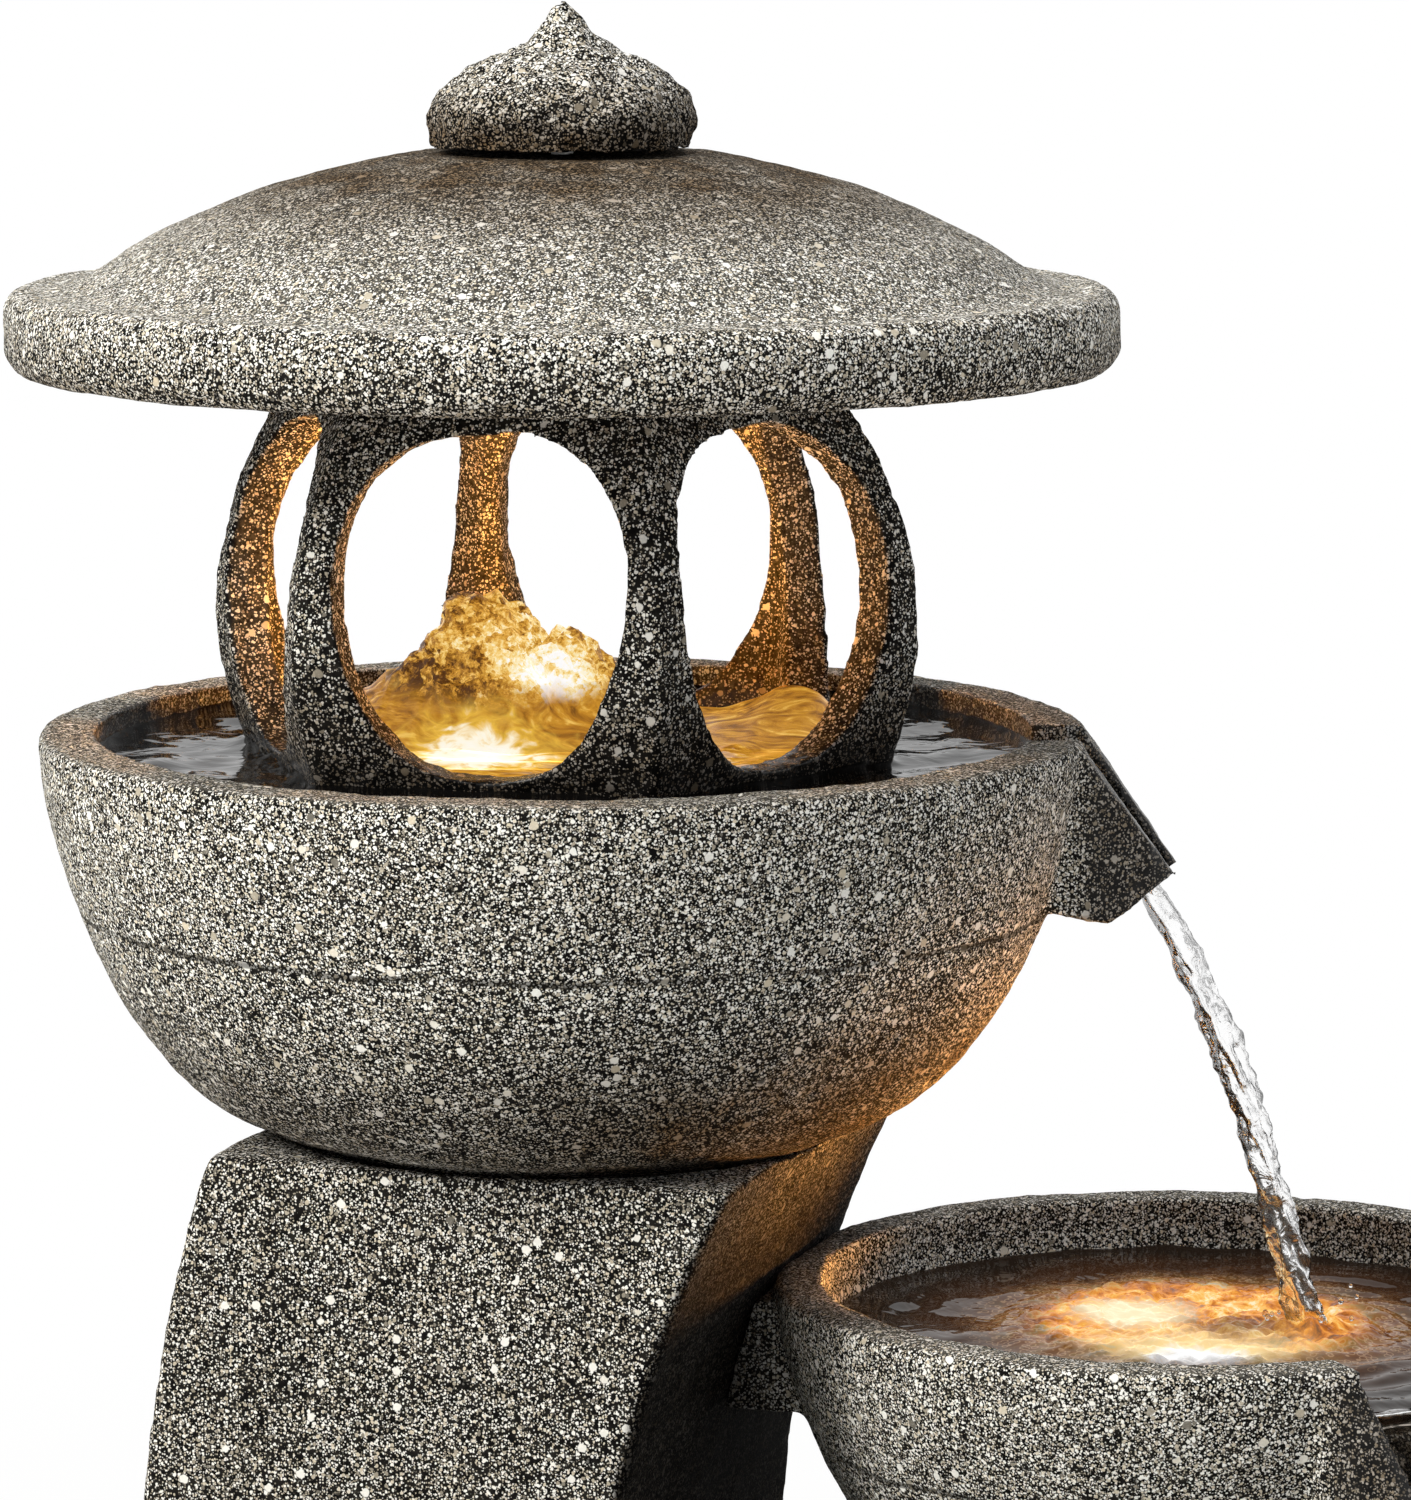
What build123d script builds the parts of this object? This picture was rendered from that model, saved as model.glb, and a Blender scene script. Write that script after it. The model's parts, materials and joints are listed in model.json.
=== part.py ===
from build123d import *
import math
import os

# Cascading stone fountain with a lantern. Millimetres, +Z up, the origin on the
# ground under the lantern's axis. The pillar's front face looks along -Y, and the
# water runs down towards +X: lantern bowl, side bowl, base basin.

# Height of the whole, and the main levels as shares of it
total_height = 650.0
upper_rim_share = 0.6954
side_rim_share = 0.4615
basin_rim_share = 0.2277
lantern_top_share = 0.8492
roof_crown_share = 0.9377
pillar_left_bulge_share = 0.3154
pillar_right_hollow_share = 0.3
door_bottom_share = 0.2554
door_height_share = 0.1815
hose_bend_low_share = 0.2615
hose_bend_high_share = 0.3846

# Running and fitting clearances
joint_gap = 0.3
fit_gap = 0.5
shaft_gap = 0.05
overrun = 4.0

# Bowls: one outline, carried by shares of each bowl's own radius and depth
bowl_shares = ((1.0, 0.0), (0.985, 0.19), (0.931, 0.42), (0.852, 0.64), (0.724, 0.85), (0.575, 0.955))
bowl_foot_share = 0.493
basin_shares = ((1.0, 0.0), (0.99, 0.28), (0.958, 0.6), (0.905, 0.86), (0.855, 0.96))
basin_foot_share = 0.8
rim_rounding = 3.0

# Upper bowl
upper_bowl_radius = 145.0
upper_bowl_depth = 114.0
upper_rim_width = 17.0
upper_pan_depth = 42.0
bowl_wall = 12.0
pan_thickness = 10.0
pan_floor_share = 0.81
pan_middle_share = 0.955
pan_middle_depth_share = 0.66
upper_core_radius = 40.0

# Side bowl
side_bowl_radius = 113.7
side_bowl_depth = 90.0
side_rim_width = 15.0
side_pan_depth = 38.0
side_core_radius = 26.0
side_bowl_offset = 58.3
cascade_heading = 13.5
neck_width = 84.0
neck_top_drop = 6.0
neck_bottom_drop = 38.0
plug_thickness = 8.0
plug_flange = 5.0
plug_flange_thickness = 3.0

# Spouts
spout_mouth_width = 49.0
spout_end_width = 21.0
spout_slope = 54.0
spout_fall = 38.0
spout_body = 23.0
spout_channel_mouth_width = 26.0
spout_channel_end_width = 11.0
spout_channel_depth = 12.0
spout_underside_drop = 46.0
upper_notch_depth = 14.0
side_notch_depth = 19.0
side_spout_heading = -45.0

# Base basin
basin_radius = 252.0
basin_wall = 15.0
basin_floor = 16.0
basin_left_clearance = 41.0
basin_centre_y = -20.0
cable_hole_radius = 6.0
cable_hole_drop = 12.0
cable_hole_heading = 100.0

# Pillar: a crescent seen from the front
pillar_depth = 170.0
pillar_wall = 12.0
pillar_collar = 5.0
pillar_left_top = -73.8
pillar_left_middle = -96.0
pillar_left_bottom = -51.0
pillar_right_top = 76.7
pillar_right_middle = 38.0
pillar_right_bottom = 92.0
pillar_edge_chamfer = 2.5
pillar_top_plate = 16.0
pillar_passage_radius = 30.0
intake_count = 3
intake_width = 24.0
intake_height = 26.0
intake_pitch = 34.0
intake_centre_x = 8.0

# Access door in the pillar's back
door_width = 78.0
door_thickness = 7.0
door_ledge = 7.0
door_corner = 14.0
door_pull_radius = 11.0
door_pull_depth = 4.0
door_pull_level_share = 0.5
door_screw_radius = 2.5
door_screw_head_radius = 5.0
door_screw_head_height = 3.5
door_screw_length = 11.0
door_screw_inset = 7.5

# Lantern cage: six curved panels with an opening in each
cage_sides = 6
cage_turn = 3.9
cage_apothem = 87.0
cage_bulge_share = 0.3
cage_curve_radius = 114.0
cage_skirt_share = -0.16
cage_wall = 13.0
cage_top_plate = 10.0
cage_top_opening_radius = 30.0
cage_collar_height = 8.0
cage_collar_wall = 6.0
opening_width = 79.6
opening_top_share = 0.87
opening_bottom_share = -0.035
opening_shares = ((0.0, 1.0), (0.56, 0.9), (0.88, 0.62), (1.0, 0.1), (0.87, -0.46),
                  (0.5, -0.9), (0.0, -1.0))

# Roof
roof_radius = 152.5
roof_crown_radius = 41.0
roof_dome_radius = 129.0
roof_dome_drop = 34.5
roof_lip_radius = 146.5
roof_lip_drop = 36.0
roof_edge_drop = 44.0
roof_edge_bottom_drop = 54.0
roof_bottom_radius = 149.0
roof_bottom_drop = 59.0
roof_lip_width = 13.0
roof_wall = 12.0
roof_boss_radius = 52.0
roof_stud_hole_radius = 3.2
roof_dome_shares = ((0.0, 0.0), (0.3, 0.163), (0.52, 0.333), (0.735, 0.565), (0.9, 0.79), (1.0, 0.965))

# Finial
finial_radius = 38.2
finial_foot_radius = 37.0
finial_shares = ((1.0, 0.19), (0.97, 0.33), (0.85, 0.46), (0.62, 0.6), (0.33, 0.725), (0.165, 0.86))
finial_stud_radius = 3.0
finial_stud_length = 34.0
finial_stud_grip = 14.0

# Metric fixings: bolt radius, head across flats and head height
m6_radius = 3.0
m6_flats = 10.0
m6_head = 4.0
m6_washer_radius = 6.0
m8_radius = 4.0
m8_flats = 13.0
m8_head = 5.3
m8_washer_radius = 8.0
washer_thickness = 1.6
bowl_bolt_count = 3
bowl_bolt_circle = 51.0
bowl_insert_radius = 5.0
bowl_insert_length = 9.0
side_bolt_spacing = 44.0
side_bolt_wall_gap = 2.85
side_bolt_drop = 24.0
side_insert_radius = 6.0
side_insert_length = 12.0
side_insert_recess = 3.0
bolting_pad_face_x = 28.0
bolting_pad_width = 68.0
bolting_pad_height = 26.0

# Pump on the basin's floor inside the pillar
pump_x = 10.0
pump_y = 4.0
pump_width = 60.0
pump_height = 58.0
pump_body_length = 62.0
pump_cover_length = 24.0
pump_shell = 2.5
pump_corner = 7.0
pump_clearance_below = 9.0
impeller_height_share = 0.5
volute_radius = 19.0
volute_length = 11.0
rotor_well_radius = 12.5
rotor_well_length = 32.0
rotor_radius = 11.5
rotor_length = 27.0
impeller_radius = 16.5
impeller_eye_radius = 8.25
impeller_hub_radius = 5.0
impeller_blade_count = 6
impeller_blade_thickness = 1.8
impeller_blade_height = 7.0
impeller_disc_thickness = 1.5
shaft_radius = 1.5
bush_radius = 4.5
bush_length = 3.0
running_gap = 0.5
grille_slot_count = 7
grille_slot_width = 3.0
grille_slot_height = 34.0
grille_slot_pitch = 6.2
dial_radius = 8.0
dial_height = 5.0
dial_pin_radius = 2.0
dial_rib_thickness = 2.0
dial_rib_height = 2.5
outlet_radius = 6.6
outlet_bore_radius = 4.8
outlet_height = 22.0
outlet_collar_radius = 10.0
outlet_collar_height = 4.0
barb_count = 3
barb_pitch = 5.0
barb_rise = 0.5
suction_foot_radius = 9.0
suction_foot_neck_radius = 3.5
suction_foot_lip = 3.0

# Water path to the lantern bowl
hose_inner_radius = 7.2
hose_outer_radius = 9.2
hose_bend_radius = 70.0
clamp_width = 9.0
clamp_thickness = 1.2
clamp_ear = 7.0
bulkhead_flange_radius = 17.0
bulkhead_flange_thickness = 4.0
bulkhead_thread_radius = 10.5
bulkhead_thread_length = 24.0
bulkhead_barb_length = 22.0
gasket_thickness = 1.5
bulkhead_nut_flats = 30.0
bulkhead_nut_thickness = 7.0
nozzle_radius = 8.0
nozzle_height = 20.0
nozzle_foot_height = 4.0
nozzle_mouth_radius = 12.0
nozzle_bore_radius = 5.5

# Underwater lights
light_radius = 19.0
light_height = 15.0
light_wall = 2.5
light_lens_thickness = 4.0
light_lens_crown = 2.5
light_board_thickness = 1.6
light_chip_radius = 2.4
light_chip_height = 1.4
light_chip_count = 3
light_chip_circle = 7.0
lantern_light_heading = 150.0
lantern_light_reach = 38.0
side_light_heading = 152.0
side_light_reach = 8.0
side_light_lead_share = 0.4

# Leads and junction box inside the pillar
lead_radius = 2.4
gland_radius = 5.5
gland_flange_radius = 7.5
gland_flange_thickness = 2.0
box_width = 54.0
box_depth = 26.0
box_height = 34.0
box_lid_thickness = 4.0
box_wall = 2.5
box_inner_corner = 2.75
box_centre_x = -26.0
box_drop = 50.0
box_corner = 4.0
lead_run_share = 0.45
box_gland_spacing = 24.0
pump_gland_radius = 6.0
pump_gland_length = 8.0
pump_gland_level = 50.0
gland_seat_share = 0.97
cable_grommet_bore = 3.5
cable_grommet_flange = 2.5
cable_grommet_inner_share = 0.994

# Routes of the leads that the fountain holds: steps from the piece they leave, then steps from their end
lantern_lead_start = ((0.0, 0.0, 3.5), (0.0, 0.0, -30.0), (11.9, -15.0, -60.0))
lantern_lead_end = ((17.0, 50.0, 44.0), (4.0, 12.0, 30.0), (0.0, 0.0, 16.0), (0.0, 0.0, -3.0))
side_lead_start = ((-16.2, 0.0, 6.0), (-42.2, -0.9, 5.5))
side_lead_seat = ((22.5, 0.0, 0.0),)
side_lead_wall = ((-35.5, 0.0, 0.0),)
side_lead_end = ((-6.0, 68.0, 28.0), (0.0, 14.0, 28.0), (0.0, 0.0, 15.0), (0.0, 0.0, -3.0))
pump_lead_start = ((0.0, 1.0, 0.0), (0.0, 21.0, 0.0), (-9.0, 30.0, 18.0), (-26.0, 25.0, 46.0))
pump_lead_end = ((-16.0, 54.0, -68.0), (-7.0, 13.0, -35.0), (0.0, 0.0, -16.0), (0.0, 0.0, 3.0))

# Places worked out from the sizes above
upper_rim_level = total_height * upper_rim_share
side_rim_level = total_height * side_rim_share
basin_rim_level = total_height * basin_rim_share
lantern_top_level = total_height * lantern_top_share
roof_crown_level = total_height * roof_crown_share
lantern_height = lantern_top_level - upper_rim_level
cage_bulge_level = upper_rim_level + lantern_height * cage_bulge_share
cage_skirt_level = upper_rim_level + lantern_height * cage_skirt_share
opening_top_level = upper_rim_level + lantern_height * opening_top_share
opening_bottom_level = upper_rim_level + lantern_height * opening_bottom_share
side_angle = math.radians(cascade_heading)
side_bowl_reach = side_bowl_offset + side_bowl_radius
side_bowl_x = side_bowl_reach * math.cos(side_angle)
side_bowl_y = side_bowl_reach * math.sin(side_angle)
upper_pan_level = upper_rim_level - upper_pan_depth
side_pan_level = side_rim_level - side_pan_depth
upper_foot_level = upper_rim_level - upper_bowl_depth
pillar_top_level = upper_foot_level + pillar_collar
pillar_plate_bottom = upper_foot_level - pillar_top_plate
pillar_left_bulge_level = total_height * pillar_left_bulge_share
pillar_right_hollow_level = total_height * pillar_right_hollow_share
door_bottom_level = total_height * door_bottom_share
door_height = total_height * door_height_share
door_centre_x = (pillar_left_middle + pillar_right_middle) / 2
basin_centre_x = pillar_left_middle - basin_left_clearance + basin_radius - basin_wall
cable_hole_level = basin_rim_level - cable_hole_drop
hose_bend_low_level = total_height * hose_bend_low_share
hose_bend_high_level = total_height * hose_bend_high_share
box_level = pillar_plate_bottom - box_drop - box_height
side_bolt_level = side_rim_level - side_bolt_drop
side_gland_seat_x = side_bowl_x - (side_bowl_radius - side_rim_width) * gland_seat_share
pump_floor = basin_floor + pump_clearance_below
impeller_level = pump_floor + pump_height * impeller_height_share
pump_front = pump_y - pump_body_length / 2
pump_cover_front = pump_front - pump_cover_length
pillar_half_depth = pillar_depth / 2
side_bolt_outer_y = pillar_half_depth - pillar_wall - m8_washer_radius - side_bolt_wall_gap
side_gland_y = side_bolt_outer_y - side_bolt_spacing / 2


def at_radius(radius, heading_degrees):
    """Point on a circle about the origin, heading measured from +X."""
    angle = math.radians(heading_degrees)
    return radius * math.cos(angle), radius * math.sin(angle)


def rod(radius, bottom, height, x=0.0, y=0.0):
    """Upright cylinder standing on the level called bottom."""
    return Pos(x, y, bottom + height / 2) * Cylinder(radius, height)


def rod_along_x(radius, start, length, y, z):
    return Pos(start + length / 2, y, z) * Rot(0, 90, 0) * Cylinder(radius, length)


def rod_along_y(radius, start, length, x, z):
    return Pos(x, start + length / 2, z) * Rot(90, 0, 0) * Cylinder(radius, length)


def bore(radius, bottom, height, x=0.0, y=0.0):
    """Cutter for an upright hole, standing out at both ends."""
    return rod(radius, bottom - overrun, height + overrun + overrun, x, y)


def bore_along_x(radius, start, length, y, z):
    return rod_along_x(radius, start - overrun, length + overrun + overrun, y, z)


def bore_along_y(radius, start, length, x, z):
    return rod_along_y(radius, start - overrun, length + overrun + overrun, x, z)


def block(low, high):
    """Box between two corners."""
    size = [b - a for a, b in zip(low, high)]
    middle = [(a + b) / 2 for a, b in zip(low, high)]
    return Pos(*middle) * Box(*size)


def hexagon_rod(flats, bottom, height, x=0.0, y=0.0):
    """Upright hexagonal prism with the given size across flats."""
    corner_radius = flats / 2 / math.cos(math.pi / 6)
    return Pos(x, y, bottom) * extrude(RegularPolygon(corner_radius, 6), height)


def turned(*lines):
    """Solid of revolution about Z of a closed outline drawn in the XZ plane."""
    return revolve(make_face(Wire(list(lines))), Axis.Z)


def save(shape, name):
    shape.label = name
    export_step(shape, f"parts/{name}.step")


# Bowl bodies
def filled_bowl(radius, depth, rim_level, shares, foot_share):
    """Solid of the outer shape of a bowl, centred on the origin's axis."""
    points = [(radius * r, 0, rim_level - depth * z) for r, z in shares]
    foot = (radius * foot_share, 0, rim_level - depth)
    belly = Spline(*points)
    return turned(
        Line((0, 0, rim_level), points[0]), belly, Line(points[-1], foot),
        Line(foot, (0, 0, rim_level - depth)), Line((0, 0, rim_level - depth), (0, 0, rim_level)))


def pan(inner_radius, depth, rim_level):
    """The water space of a bowl: flat floor, curved wall, open top."""
    floor_radius = inner_radius * pan_floor_share
    floor_level = rim_level - depth
    rim = (inner_radius, 0, rim_level)
    middle = (inner_radius * pan_middle_share, 0, rim_level - depth * pan_middle_depth_share)
    corner = (floor_radius, 0, floor_level)
    top = rim_level + overrun
    return turned(
        ThreePointArc(corner, middle, rim), Line(rim, (inner_radius, 0, top)),
        Line((inner_radius, 0, top), (0, 0, top)), Line((0, 0, top), (0, 0, floor_level)),
        Line((0, 0, floor_level), corner))


def spout_block(bowl_radius, rim_level, rim_width):
    """Tapering block of a spout, pointing along +X from the bowl's wall."""
    slope = math.radians(spout_slope)
    lip = bowl_radius - joint_gap - rim_rounding
    run = spout_fall / math.tan(slope)
    end_top = (lip + run, rim_level - spout_fall)
    end_bottom = (end_top[0] - spout_body * math.sin(slope), end_top[1] - spout_body * math.cos(slope))
    inside = bowl_radius - rim_width
    side_view = Plane.XZ * make_face(Polyline(
        (inside, rim_level), (lip, rim_level), end_top, end_bottom,
        (inside, rim_level - spout_underside_drop), close=True))
    side_prism = extrude(side_view, spout_mouth_width, both=True)
    return side_prism & taper_prism(spout_mouth_width, spout_end_width, inside, lip, end_top[0],
                                    rim_level - bowl_radius, rim_level + overrun)


def taper_prism(mouth, end, inside, lip, end_x, bottom, top):
    """Upright prism, parallel up to the lip and tapering to the end."""
    plan = Polyline((inside, -mouth / 2), (lip, -mouth / 2), (end_x, -end / 2), (end_x, end / 2),
                    (lip, mouth / 2), (inside, mouth / 2), close=True)
    return Pos(0, 0, bottom) * extrude(make_face(plan), top - bottom)


def spout_channel(bowl_radius, rim_level, rim_width, notch_depth):
    """The water's way over the rim and down the spout."""
    slope = math.radians(spout_slope)
    lip = bowl_radius - joint_gap - rim_rounding
    run = spout_fall / math.tan(slope)
    floor_start = (lip - spout_channel_depth * math.sin(slope),
                   rim_level - spout_channel_depth * math.cos(slope))
    floor_level = rim_level - notch_depth
    bend_x = floor_start[0] + (floor_start[1] - floor_level) / math.tan(slope)
    end = (bend_x + (spout_fall + overrun) / math.tan(slope), floor_level - spout_fall - overrun)
    inside = bowl_radius - rim_width - overrun
    far = lip + run + overrun
    side_view = Plane.XZ * make_face(Polyline(
        (inside, floor_level), (bend_x, floor_level), end, (far, end[1]), (far, rim_level + overrun),
        (inside, rim_level + overrun), close=True))
    side_prism = extrude(side_view, spout_mouth_width, both=True)
    return side_prism & taper_prism(spout_channel_mouth_width, spout_channel_end_width, inside, lip,
                                    far, rim_level - bowl_radius, rim_level + overrun + overrun)


def spouted_bowl(radius, depth, rim_level, rim_width, pan_depth, core_radius, notch_depth, heading):
    """Double-skinned bowl with its pan, hollow underside and spout."""
    body = filled_bowl(radius, depth, rim_level, bowl_shares, bowl_foot_share)
    body = round_rim(body, radius, rim_level)
    body += Rot(0, 0, heading) * spout_block(radius, rim_level, rim_width)
    hollow = filled_bowl(radius - bowl_wall, depth - bowl_wall, rim_level, bowl_shares, bowl_foot_share)
    hollow_top = rim_level - pan_depth - pan_thickness
    hollow &= rod(radius, rim_level - depth, hollow_top - rim_level + depth)
    body -= hollow
    body -= bore(core_radius, rim_level - depth, bowl_wall)
    body -= pan(radius - rim_width, pan_depth, rim_level)
    body -= Rot(0, 0, heading) * spout_channel(radius, rim_level, rim_width, notch_depth)
    return body


def round_rim(body, radius, rim_level):
    """Round the outer edge of the rim."""
    edges = [e for e in body.edges() if abs(e.center().Z - rim_level) < joint_gap]
    edges = [e for e in edges if e.geom_type == GeomType.CIRCLE and abs(e.radius - radius) < joint_gap]
    return fillet(edges, rim_rounding)


def make_upper_bowl():
    bowl = spouted_bowl(upper_bowl_radius, upper_bowl_depth, upper_rim_level, upper_rim_width,
                        upper_pan_depth, upper_core_radius, upper_notch_depth, cascade_heading)
    bowl -= bore(bulkhead_thread_radius + joint_gap, upper_pan_level - pan_thickness, pan_thickness)
    light_x, light_y = at_radius(lantern_light_reach, lantern_light_heading)
    bowl -= bore(gland_radius, upper_pan_level - pan_thickness, pan_thickness, light_x, light_y)
    for x, y in bowl_bolt_places():
        bowl -= rod(bowl_insert_radius, upper_foot_level - overrun, bowl_insert_length + overrun, x, y)
    return bowl


def bowl_bolt_places():
    step = 360 / bowl_bolt_count
    return [at_radius(bowl_bolt_circle, -90 + step * i) for i in range(bowl_bolt_count)]


def side_bolt_places():
    """Y of the two bolts that hold the side bowl."""
    return [side_bolt_outer_y - side_bolt_spacing, side_bolt_outer_y]


def make_side_bowl():
    bowl = spouted_bowl(side_bowl_radius, side_bowl_depth, side_rim_level, side_rim_width,
                        side_pan_depth, side_core_radius, side_notch_depth, side_spout_heading)
    bowl = Pos(side_bowl_x, side_bowl_y, 0) * bowl
    neck = block((0, side_bowl_y - neck_width / 2, side_rim_level - neck_bottom_drop),
                 (side_bowl_x - side_bowl_radius / 2, side_bowl_y + neck_width / 2,
                  side_rim_level - neck_top_drop))
    inside = Pos(side_bowl_x, side_bowl_y, 0) * (
        pan(side_bowl_radius - side_rim_width, side_pan_depth, side_rim_level)
        + rod(side_bowl_radius - bowl_wall - side_rim_width, side_rim_level - side_bowl_depth,
              side_bowl_depth - side_pan_depth))
    bowl += neck - inside
    bowl -= extrude(pillar_outline(-joint_gap, 0, pillar_top_level), pillar_depth, both=True)
    wall_x = pillar_right_x(side_bolt_level)
    insert_hole = side_insert_recess + side_insert_length + overrun
    for y in side_bolt_places():
        bowl -= rod_along_x(side_insert_radius, wall_x - overrun, insert_hole, y, side_bolt_level)
    bowl -= rod_along_x(gland_radius, 0, side_gland_seat_x + overrun, side_gland_y, side_bolt_level)
    bowl -= rod_along_x(gland_flange_radius + fit_gap, side_gland_seat_x, side_rim_width,
                        side_gland_y, side_bolt_level)
    return bowl


def pillar_edge_points(top_x, middle_x, bottom_x, middle_level, inset, levels):
    """Points at the given levels on the circle through three named points of the crescent's edge."""
    edge = ThreePointArc((top_x + inset, pillar_top_level), (middle_x + inset, middle_level),
                         (bottom_x + inset, basin_floor))
    centre, radius = edge.arc_center, edge.radius
    return [(centre.X - math.sqrt(radius ** 2 - (z - centre.Y) ** 2), z) for z in levels]


def pillar_outline(inset, bottom, top):
    """Front view of the pillar, drawn in by the inset, as a face in the XZ plane."""
    levels = (top, (top + bottom) / 2, bottom)
    left = ThreePointArc(*pillar_edge_points(pillar_left_top, pillar_left_middle, pillar_left_bottom,
                                             pillar_left_bulge_level, inset, levels))
    right = ThreePointArc(*pillar_edge_points(pillar_right_top, pillar_right_middle, pillar_right_bottom,
                                              pillar_right_hollow_level, -inset, levels))
    return Plane.XZ * make_face([left, Line(left @ 1, right @ 1), right, Line(right @ 0, left @ 0)])


def pillar_right_x(level):
    """X of the pillar's right face at a level."""
    return pillar_edge_points(pillar_right_top, pillar_right_middle, pillar_right_bottom,
                              pillar_right_hollow_level, 0, [level])[0][0]


def door_face(margin):
    """Door's outline, drawn in by the margin, in the XZ plane."""
    middle = door_bottom_level + door_height / 2
    width, height = door_width - margin - margin, door_height - margin - margin
    shape = RectangleRounded(width, height, door_corner - margin)
    return Plane.XZ * Pos(door_centre_x, middle) * shape


def door_screw_places():
    """X and level of the door's two screws, on its centre line."""
    return [(door_centre_x, door_bottom_level + door_screw_inset),
            (door_centre_x, door_bottom_level + door_height - door_screw_inset)]


def make_pillar():
    outline = pillar_outline(0, basin_floor, pillar_top_level)
    body = Pos(0, pillar_half_depth, 0) * extrude(outline, pillar_depth)
    long_edges = [e for e in body.edges() if e.geom_type == GeomType.CIRCLE]
    body = chamfer(long_edges, pillar_edge_chamfer)
    hollow = pillar_outline(pillar_wall, basin_floor - overrun, pillar_plate_bottom)
    body -= extrude(hollow, pillar_half_depth - pillar_wall, both=True)
    pad_low, pad_high = side_bolt_level - bolting_pad_height / 2, side_bolt_level + bolting_pad_height / 2
    pad = block((bolting_pad_face_x, side_gland_y - bolting_pad_width / 2, pad_low),
                (pillar_right_x(side_bolt_level), pillar_half_depth - pillar_wall, pad_high))
    body += pad & extrude(pillar_outline(0, basin_floor, pillar_top_level), pillar_half_depth, both=True)
    body -= filled_bowl(upper_bowl_radius + fit_gap, upper_bowl_depth, upper_rim_level, bowl_shares,
                        bowl_foot_share)
    body -= bore(pillar_passage_radius, pillar_plate_bottom, pillar_top_plate)
    for x, y in bowl_bolt_places():
        body -= bore(m6_radius + joint_gap, pillar_plate_bottom, pillar_top_plate, x, y)
    for y in side_bolt_places():
        body -= rod_along_x(m8_radius + joint_gap, 0, side_bowl_x, y, side_bolt_level)
    body -= rod_along_x(gland_radius, 0, side_bowl_x, side_gland_y, side_bolt_level)
    body -= doorway()
    return body - intake_arches()


def doorway():
    """Rebate for the door, the way through behind it and the screws' holes."""
    back = pillar_half_depth
    cut = Pos(0, back + overrun, 0) * extrude(door_face(-fit_gap), door_thickness + fit_gap + overrun)
    cut += Pos(0, back + overrun, 0) * extrude(door_face(door_ledge), pillar_wall + overrun + overrun)
    for x, z in door_screw_places():
        reach = back - door_thickness - fit_gap
        cut += rod_along_y(door_screw_radius + joint_gap, reach - pillar_wall, pillar_wall + overrun, x, z)
    return cut


def intake_arches():
    """Round-headed slots that let the basin's water into the pillar."""
    cut = Part()
    half_width = intake_width / 2
    spring_level = basin_floor + intake_height - half_width
    cut_length = pillar_half_depth + pillar_wall + overrun
    for i in range(intake_count):
        x = intake_centre_x + (i - (intake_count - 1) / 2) * intake_pitch
        cut += block((x - half_width, -pillar_depth, basin_floor - overrun),
                     (x + half_width, cut_length - pillar_depth, spring_level))
        cut += rod_along_y(half_width, -pillar_depth, cut_length, x, spring_level)
    return cut


def make_basin():
    body = filled_bowl(basin_radius, basin_rim_level, basin_rim_level, basin_shares, basin_foot_share)
    body = round_rim(body, basin_radius, basin_rim_level)
    inner_radius = basin_radius - basin_wall
    body -= filled_bowl(inner_radius, basin_rim_level - basin_floor, basin_rim_level, basin_shares,
                        basin_foot_share)
    body -= Rot(0, 0, cable_hole_heading) * bore_along_x(
        cable_hole_radius, inner_radius - overrun, basin_wall + overrun, 0, cable_hole_level)
    return Pos(basin_centre_x, basin_centre_y, 0) * body


# Lantern
def cage_profile(inset, bottom, top):
    """Barrel outline of one pair of panels, in the XZ plane."""
    radius = cage_curve_radius
    centre = cage_apothem - radius

    def half_width(z):
        return centre + math.sqrt(radius ** 2 - (z - cage_bulge_level) ** 2) - inset

    low, high = max(bottom, cage_skirt_level), top
    right = ThreePointArc((half_width(low), low), (half_width((low + high) / 2), (low + high) / 2),
                          (half_width(high), high))
    left = mirror(right, Plane.YZ)
    edges = [right, Line(right @ 1, left @ 1), left]
    if bottom < low:
        foot_right, foot_left = (half_width(low), bottom), (-half_width(low), bottom)
        edges += [Line(left @ 0, foot_left), Line(foot_left, foot_right), Line(foot_right, right @ 0)]
    else:
        edges.append(Line(left @ 0, right @ 0))
    return Plane.XZ * make_face(edges)


def cage_barrel(inset, bottom, top):
    """Six-sided barrel: the common part of three curved prisms."""
    prism = extrude(cage_profile(inset, bottom, top), cage_apothem * 2, both=True)
    barrel = prism
    for i in range(1, cage_sides // 2):
        barrel = barrel & (Rot(0, 0, i * 360 / cage_sides) * prism)
    return Rot(0, 0, 90) * barrel


def opening_prism():
    """One panel's hand-cut oval, standing out along -Y."""
    half_height = (opening_top_level - opening_bottom_level) / 2
    middle = (opening_top_level + opening_bottom_level) / 2
    half = [(opening_width / 2 * x, middle + half_height * z) for x, z in opening_shares]
    other = [(-x, z) for x, z in reversed(half[1:-1])]
    outline = Plane.XZ * make_face(Spline(*half, *other, periodic=True))
    return extrude(outline, cage_apothem * 2)


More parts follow.
